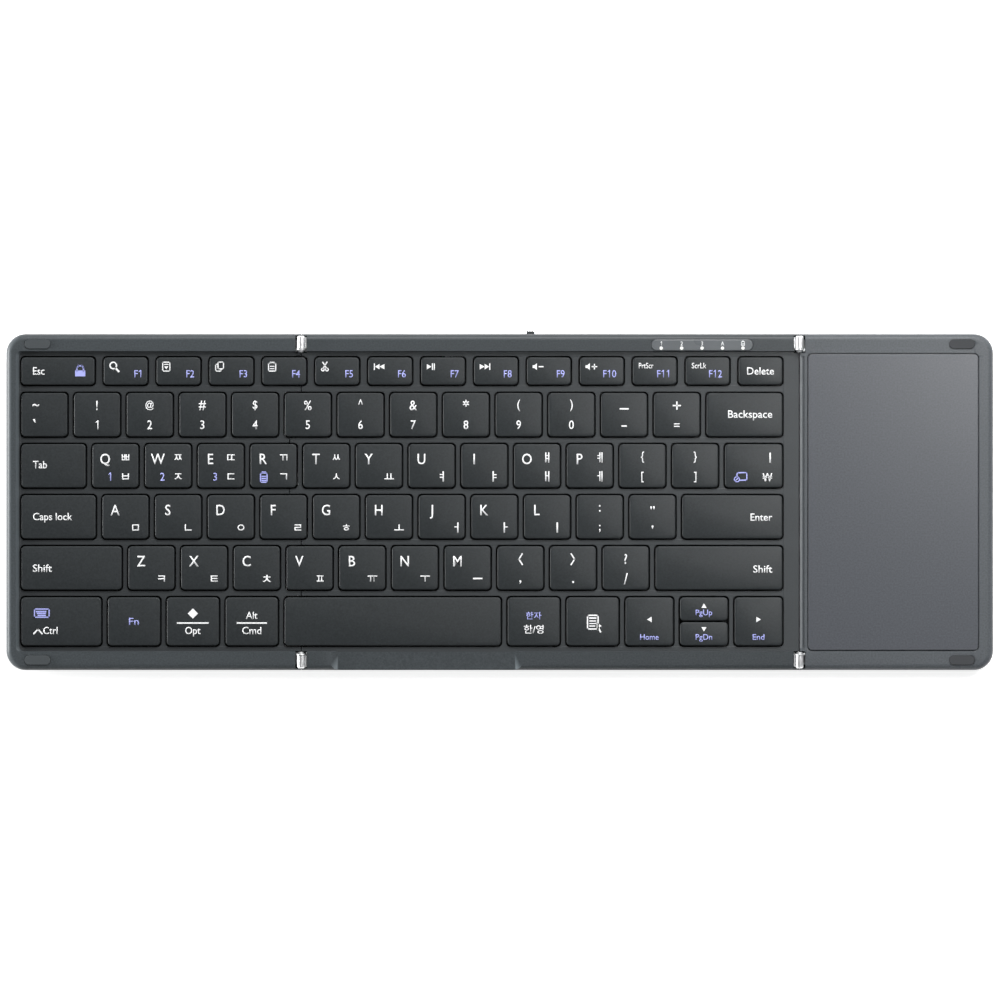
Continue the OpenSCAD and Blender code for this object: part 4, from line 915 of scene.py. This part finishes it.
def scaled_print(mark):
    """A mark's mesh in millimetres, with its middle line at y = 0."""
    if mark.kind == "symbol":
        mesh = print_symbol(mark.text)
        if mark.width:
            low, high = flat_box(mesh)
            bmesh.ops.scale(mesh, verts=mesh.verts, vec=(mark.width / (high.x - low.x), 1, 1))
        return mesh
    mesh = print_text(mark.text)
    low, high = flat_box(mesh)
    if mark.kind == "word":
        tall = mark.height / CAPITAL
        middle = CAPITAL / 2
    else:
        tall = mark.height / (high.y - low.y)
        middle = (low.y + high.y) / 2
    wide = mark.width / (high.x - low.x) if mark.width else tall * keys().spread
    bmesh.ops.translate(mesh, verts=mesh.verts, vec=(-(low.x + high.x) / 2, -middle, 0))
    bmesh.ops.scale(mesh, verts=mesh.verts, vec=(wide, tall, 1))
    return mesh


def add_print(mesh, mark, low, high, finish):
    """Adds a mark to a legend mesh, on the top of the cap between those corners."""
    part = scaled_print(mark)
    bmesh.ops.scale(part, verts=part.verts, vec=(mm(1), mm(1), 1))
    left, right = (corner.x for corner in flat_box(part))
    x = {"left": low.x + mm(mark.x) - left, "left_mid": low.x + mm(mark.x),
         "right": high.x - mm(mark.x) - right, "right_mid": high.x - mm(mark.x),
         "mid": (low.x + high.x) / 2 + mm(mark.x)}[mark.side]
    place = (x, high.y - mm(mark.y), high.z - keys().ink_sink)
    flats = list(part.faces)
    bmesh.ops.recalc_face_normals(part, faces=flats)
    for face in flats:
        if face.normal.z < 0:
            face.normal_flip()
    raised = bmesh.ops.extrude_face_region(part, geom=flats)["geom"]
    bmesh.ops.translate(part, verts=[v for v in raised if isinstance(v, bmesh.types.BMVert)],
                        vec=(0, 0, keys().ink + keys().ink_sink))
    bmesh.ops.translate(part, verts=part.verts, vec=place)
    for face in part.faces:
        face.material_index = finish
    pour(part, mesh)


class KEYBOARD_OT_legends(bpy.types.Operator):
    """Prints the legends on the keycaps."""

    bl_idname = "keyboard.legends"
    bl_label = "Legends"

    def execute(self, context):
        for node, caps in LEGENDS.items():
            boxes = islands(node)
            if len(boxes) != len(caps):
                raise RuntimeError(f"{node} has {len(boxes)} keys and {len(caps)} legends")
            mesh = bmesh.new()
            for (low, high), marks in zip(boxes, caps):
                for mark in marks:
                    add_print(mesh, mark, low, high, 1 if mark.ink == "violet" else 0)
            add_piece(node + "_legends", mesh, BODY_OF[node], "white_ink", "violet_ink")
        return {"FINISHED"}


# Shells

class KEYBOARD_OT_shells(bpy.types.Operator):
    """Dresses the panel frames, the bottom covers and the touchpad."""

    bl_idname = "keyboard.shells"
    bl_label = "Shells and touchpad"

    def execute(self, context):
        for panel in ("left", "middle", "right"):
            slot = "touchpad_frame_plastic" if panel == "right" else "frame_plastic"
            dress(panel + "_top_frame", slot, shells().shell_edge, joined=False)
            dress(panel + "_bottom_cover", "cover_plastic", shells().shell_edge)
        dress("touchpad_plate", "touchpad_surface", shells().pad_edge, 3)
        return {"FINISHED"}


# Hinges, screws and rubber

class KEYBOARD_OT_hinges(bpy.types.Operator):
    """Dresses the hinge knuckles, leaves, pins and screws."""

    bl_idname = "keyboard.hinges"
    bl_label = "Hinges and screws"

    def execute(self, context):
        for node in ("hinge_barrels", "left_hinge_leaves", "right_hinge_leaves"):
            dress(node, "hinge_metal", shells().metal_edge, 3)
        dress("hinge_pins", "screw_steel", shells().metal_edge)
        for node in ("middle_screws", "left_screws", "right_screws"):
            dress(node, "screw_steel", shells().metal_edge)
        return {"FINISHED"}


class KEYBOARD_OT_rubber(bpy.types.Operator):
    """Dresses the feet and the bumper pads."""

    bl_idname = "keyboard.rubber"
    bl_label = "Feet and bumpers"

    def execute(self, context):
        for panel in ("middle", "left", "right"):
            dress(panel + "_feet", "foot_rubber", shells().foot_edge, 3)
        for panel, finish in (("left", "left_bumper_rubber"), ("right", "bumper_rubber")):
            dress(panel + "_bumpers", finish, shells().bumper_edge, 3)
        return {"FINISHED"}


# Switch, indicators and cables

# Marks over the indicator lights; their places and height are in millimetres
LIGHT_MARKS = ["1", "2", "3", "A", "cell"]
MARK_Y = 2.57
MARK_HEIGHT = 1.15
LAMP_Y = 3.92


class KEYBOARD_OT_indicators(bpy.types.Operator):
    """Dresses the switch knob and the indicator window with its lights and symbols."""

    bl_idname = "keyboard.indicators"
    bl_label = "Switch and indicators"

    def execute(self, context):
        dress("power_switch_knob", "knob_plastic", shells().knob_edge, 3)
        dress("indicator_window", "window_plastic", shells().window_rim, 3)
        low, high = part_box("indicator_window")
        middle = (low + high) / 2
        half = shells().light_pitch / 2
        mesh = bmesh.new()
        for i, text in enumerate(LIGHT_MARKS):
            x = middle.x + shells().light_pitch * (i - (len(LIGHT_MARKS) - 1) / 2)
            corners = [Vector((x + side * half, middle.y + side * half, high.z)) for side in (-1, 1)]
            mark = sign(text, MARK_Y) if text in SYMBOLS else Mark(text, "mid", 0, MARK_Y, MARK_HEIGHT)
            add_print(mesh, mark, *corners, 0)
            add_print(mesh, sign("lamp", LAMP_Y), *corners, 1)
        add_piece("indicator_prints", mesh, BODY_OF["indicator_window"], "white_ink", "light_lens")
        return {"FINISHED"}


# A flat cable's thickness and the length of its sections, in millimetres
RIBBON_THICKNESS = 0.2
RIBBON_STEP = 1.0


def ribbon(width, thickness, points):
    """A flat cable through the points, with sections close enough together to bend."""
    mesh = bmesh.new()
    start = Vector(points[0])
    edge = mesh.edges.new([mesh.verts.new(start + Vector((0, side * width / 2, 0))) for side in (-1, 1)])
    for first, last in zip(points, points[1:]):
        run = Vector(last) - Vector(first)
        steps = max(1, round(run.length / mm(RIBBON_STEP)))
        for _ in range(steps):
            grown = bmesh.ops.extrude_edge_only(mesh, edges=[edge])["geom"]
            edge = next(e for e in grown if isinstance(e, bmesh.types.BMEdge)
                        and all(v in grown for v in e.verts))
            bmesh.ops.translate(mesh, verts=edge.verts, vec=run / steps)
    bmesh.ops.recalc_face_normals(mesh, faces=mesh.faces)
    bmesh.ops.solidify(mesh, geom=list(mesh.faces), thickness=thickness)
    bmesh.ops.recalc_face_normals(mesh, faces=mesh.faces)
    return mesh


class KEYBOARD_OT_cables(bpy.types.Operator):
    """Makes the two flat cables."""

    bl_idname = "keyboard.cables"
    bl_label = "Flat cables"

    def execute(self, context):
        for side in ("left", "right"):
            node = side + "_flex_cable"
            low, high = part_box(node)
            thickness = mm(RIBBON_THICKNESS)
            z = low.z + thickness / 2
            points = [(low.x, 0, z), (high.x, 0, z)]
            if side == "right":
                end = high.x - thickness / 2
                points = [(low.x, 0, z), (end, 0, z), (end, 0, high.z)]
            mesh = ribbon(high.y - low.y, thickness, points)
            piece = add_piece(node + "_ribbon", mesh, None, "flex_film")
            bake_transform(piece)
            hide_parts(node)
        return {"FINISHED"}


# The parts inside

INNER_FINISHES = {
    "middle_support_plate": "plate_steel",
    "left_support_plate": "plate_steel",
    "middle_membrane": "membrane_film",
    "left_membrane": "membrane_film",
    "battery_cell": "cell_pouch",
    "charging_socket": "socket_steel",
    "power_switch_housing": "socket_steel",
    "touchpad_board": "circuit_board",
}
CHIP_FINISHES = {"control_board": "chip_epoxy", "indicator_lights": "light_lens"}
# What stands out of a board by more than this is a chip or a light, in millimetres; and their soft edge
CHIP_RISE = 0.05
CHIP_EDGE = 0.05


class KEYBOARD_OT_inner_parts(bpy.types.Operator):
    """Finishes the parts inside the panels."""

    bl_idname = "keyboard.inner_parts"
    bl_label = "Inner parts"

    def execute(self, context):
        for node, finish in INNER_FINISHES.items():
            data = NODES[node].data
            data.materials.clear()
            data.materials.append(material(finish))
        for node, finish in CHIP_FINISHES.items():
            mesh = merged_copy(node)
            flats = [f for f in mesh.faces if f.normal.z > 0.9]
            board_top = max(flats, key=lambda face: face.calc_area()).calc_center_median().z
            for face in mesh.faces:
                face.material_index = int(face.calc_center_median().z > board_top + mm(CHIP_RISE))
            piece = add_piece(node + "_part", mesh, BODY_OF[node], "circuit_board", finish)
            smooth(soften(piece, mm(CHIP_EDGE)))
            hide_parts(node)
        return {"FINISHED"}


# Stage

class Softbox(NamedTuple):
    """A rectangular light: its place, what it faces and its size, in metres."""

    name: str
    place: tuple
    target: tuple
    size: tuple


SOFTBOXES = [
    Softbox("key", (0.1, 0.95, 0.85), (0, 0, 0), (0.35, 0.35)),
    Softbox("side", (0.5, 0.55, 0.6), (0.05, 0, 0), (0.4, 0.4)),
    Softbox("fill", (-0.8, 0.05, 0.1), (-0.1, 0, 0), (0.3, 0.12)),
    Softbox("corner", (0.215, 0.11, 0.42), (0.14, 0.04, 0), (0.12, 0.12)),
]
# The sky's light against the height that it comes from, from low to overhead
SKY_HEIGHTS = (0.55, 0.97)
SKY_LEVELS = (1.5, 0.25)
# How far the strip without glow stops short of the panel's rear edge, and its soft edge, in millimetres
GLOW_SHORT = 4
GLOW_FADE = 1


def add_softbox(box):
    """Adds a rectangular light that faces its target, with the power that the scene gives it."""
    lamp = bpy.data.lights.new(box.name + "_light", "AREA")
    lamp.shape = "RECTANGLE"
    lamp.size, lamp.size_y = box.size
    lamp.energy = getattr(studio(), box.name + "_power")
    holder = bpy.data.objects.new(box.name + "_light", lamp)
    holder.location = box.place
    holder.rotation_euler = (Vector(box.target) - Vector(box.place)).to_track_quat("-Z", "Y").to_euler()
    holder.visible_camera = False
    bpy.context.scene.collection.objects.link(holder)


def make_sky():
    """Light from all round: bright near the horizon, dimmer overhead."""
    world = bpy.data.worlds.new("studio")
    world.use_nodes = True
    tree = world.node_tree
    tree.nodes.clear()
    place = add_node(tree, "ShaderNodeTexCoord").outputs["Generated"]
    height = add_node(tree, "ShaderNodeSeparateXYZ", {0: place}).outputs["Z"]
    strength = spread(tree, height, *SKY_LEVELS, *SKY_HEIGHTS)
    level = add_node(tree, "ShaderNodeMath", {0: strength, 1: studio().sky}, operation="MULTIPLY").outputs[0]
    light = add_node(tree, "ShaderNodeBackground", {"Color": (1, 1, 1, 1), "Strength": level})
    output = add_node(tree, "ShaderNodeOutputWorld")
    tree.links.new(light.outputs[0], output.inputs["Surface"])
    bpy.context.scene.world = world


def make_floor():
    """A wide table whose painted glow thins the shadows, except in a strip under the left fold, left without
    it as a painted shade that keeps the seam's gaps dark.
    """
    mesh = bmesh.new()
    bmesh.ops.create_grid(mesh, x_segments=1, y_segments=1, size=2)
    piece = add_piece("floor", mesh, None)
    made, tree, shader, place = new_material("floor_opal")
    fibres = noise(tree, place, 2, 3)
    tree.links.new(mixed(tree, fibres, rgba(colours().floor, 0.99), rgba(colours().floor, 1.01)),
                   shader.inputs["Base Color"])
    shader.inputs["Roughness"].default_value = 0.9
    shader.inputs["Specular IOR Level"].default_value = 0.1
    shader.inputs["Emission Color"].default_value = rgba(colours().floor)
    # No glow in the strip under the left fold: a painted shade there.
    fold = fold_axes()["left_fold"].x
    centre = add_node(tree, "ShaderNodeMapping", {"Vector": place, "Location": (-fold, 0, 0)})
    away = add_node(tree, "ShaderNodeVectorMath", {0: centre.outputs[0]}, operation="ABSOLUTE").outputs[0]
    along = add_node(tree, "ShaderNodeSeparateXYZ", {0: away}).outputs
    half_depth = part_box("left_top_frame")[1].y - mm(GLOW_SHORT)
    level = 0
    for axis, reach in (("X", studio().glow_gap), ("Y", half_depth)):
        ramp = spread(tree, along[axis], 0, 1, reach - mm(GLOW_FADE), reach)
        level = add_node(tree, "ShaderNodeMath", {0: level, 1: ramp}, operation="MAXIMUM").outputs[0]
    strength = add_node(tree, "ShaderNodeMath", {0: level, 1: studio().glow}, operation="MULTIPLY").outputs[0]
    tree.links.new(strength, shader.inputs["Emission Strength"])
    piece.data.materials.append(made)


def make_camera():
    """A long lens straight above the keyboard."""
    lens = bpy.data.cameras.new("camera")
    lens.lens = studio().lens
    lens.clip_end = 20
    height = studio().view_width * lens.lens / lens.sensor_width
    holder = bpy.data.objects.new("camera", lens)
    holder.location = (studio().centre_x, studio().centre_y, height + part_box("space_bar")[1].z)
    bpy.context.scene.collection.objects.link(holder)
    bpy.context.scene.camera = holder


class KEYBOARD_OT_stage(bpy.types.Operator):
    """Sets up the floor, the lights and the camera."""

    bl_idname = "keyboard.stage"
    bl_label = "Stage"

    def execute(self, context):
        make_floor()
        make_sky()
        for box in SOFTBOXES:
            add_softbox(box)
        make_camera()
        context.scene.view_settings.view_transform = "Standard"
        return {"FINISHED"}


class KEYBOARD_PT_panel(bpy.types.Panel):
    """Lists the sizes, the colours and the steps."""

    bl_idname = "KEYBOARD_PT_panel"
    bl_label = "Folding keyboard"
    bl_space_type = "VIEW_3D"
    bl_region_type = "UI"
    bl_category = "Keyboard"

    def draw(self, context):
        for group in (keys(), shells(), colours(), studio()):
            box = self.layout.box()
            for name in group.__annotations__:
                box.prop(group, name)
        for step in STEPS:
            self.layout.operator(step.bl_idname)


GROUPS = {"keyboard_keys": KeySizes, "keyboard_shells": ShellSizes, "keyboard_colours": Colours,
          "keyboard_studio": Studio}
STEPS = [KEYBOARD_OT_keycaps, KEYBOARD_OT_switches, KEYBOARD_OT_legends, KEYBOARD_OT_shells,
         KEYBOARD_OT_hinges, KEYBOARD_OT_rubber, KEYBOARD_OT_indicators, KEYBOARD_OT_cables,
         KEYBOARD_OT_inner_parts, KEYBOARD_OT_stage]


def register():
    """Registers the properties, the operators and the panel."""
    for name, group in GROUPS.items():
        bpy.utils.register_class(group)
        setattr(bpy.types.Scene, name, PointerProperty(type=group))
    for made in (*STEPS, KEYBOARD_PT_panel):
        bpy.utils.register_class(made)


def unregister():
    """Takes them away again."""
    for made in (KEYBOARD_PT_panel, *reversed(STEPS)):
        bpy.utils.unregister_class(made)
    for name, group in GROUPS.items():
        delattr(bpy.types.Scene, name)
        bpy.utils.unregister_class(group)


def main():
    """Builds the pieces and the stage."""
    register()
    for step in STEPS:
        group, name = step.bl_idname.split(".")
        getattr(getattr(bpy.ops, group), name)()


if __name__ == "__main__":
    main()
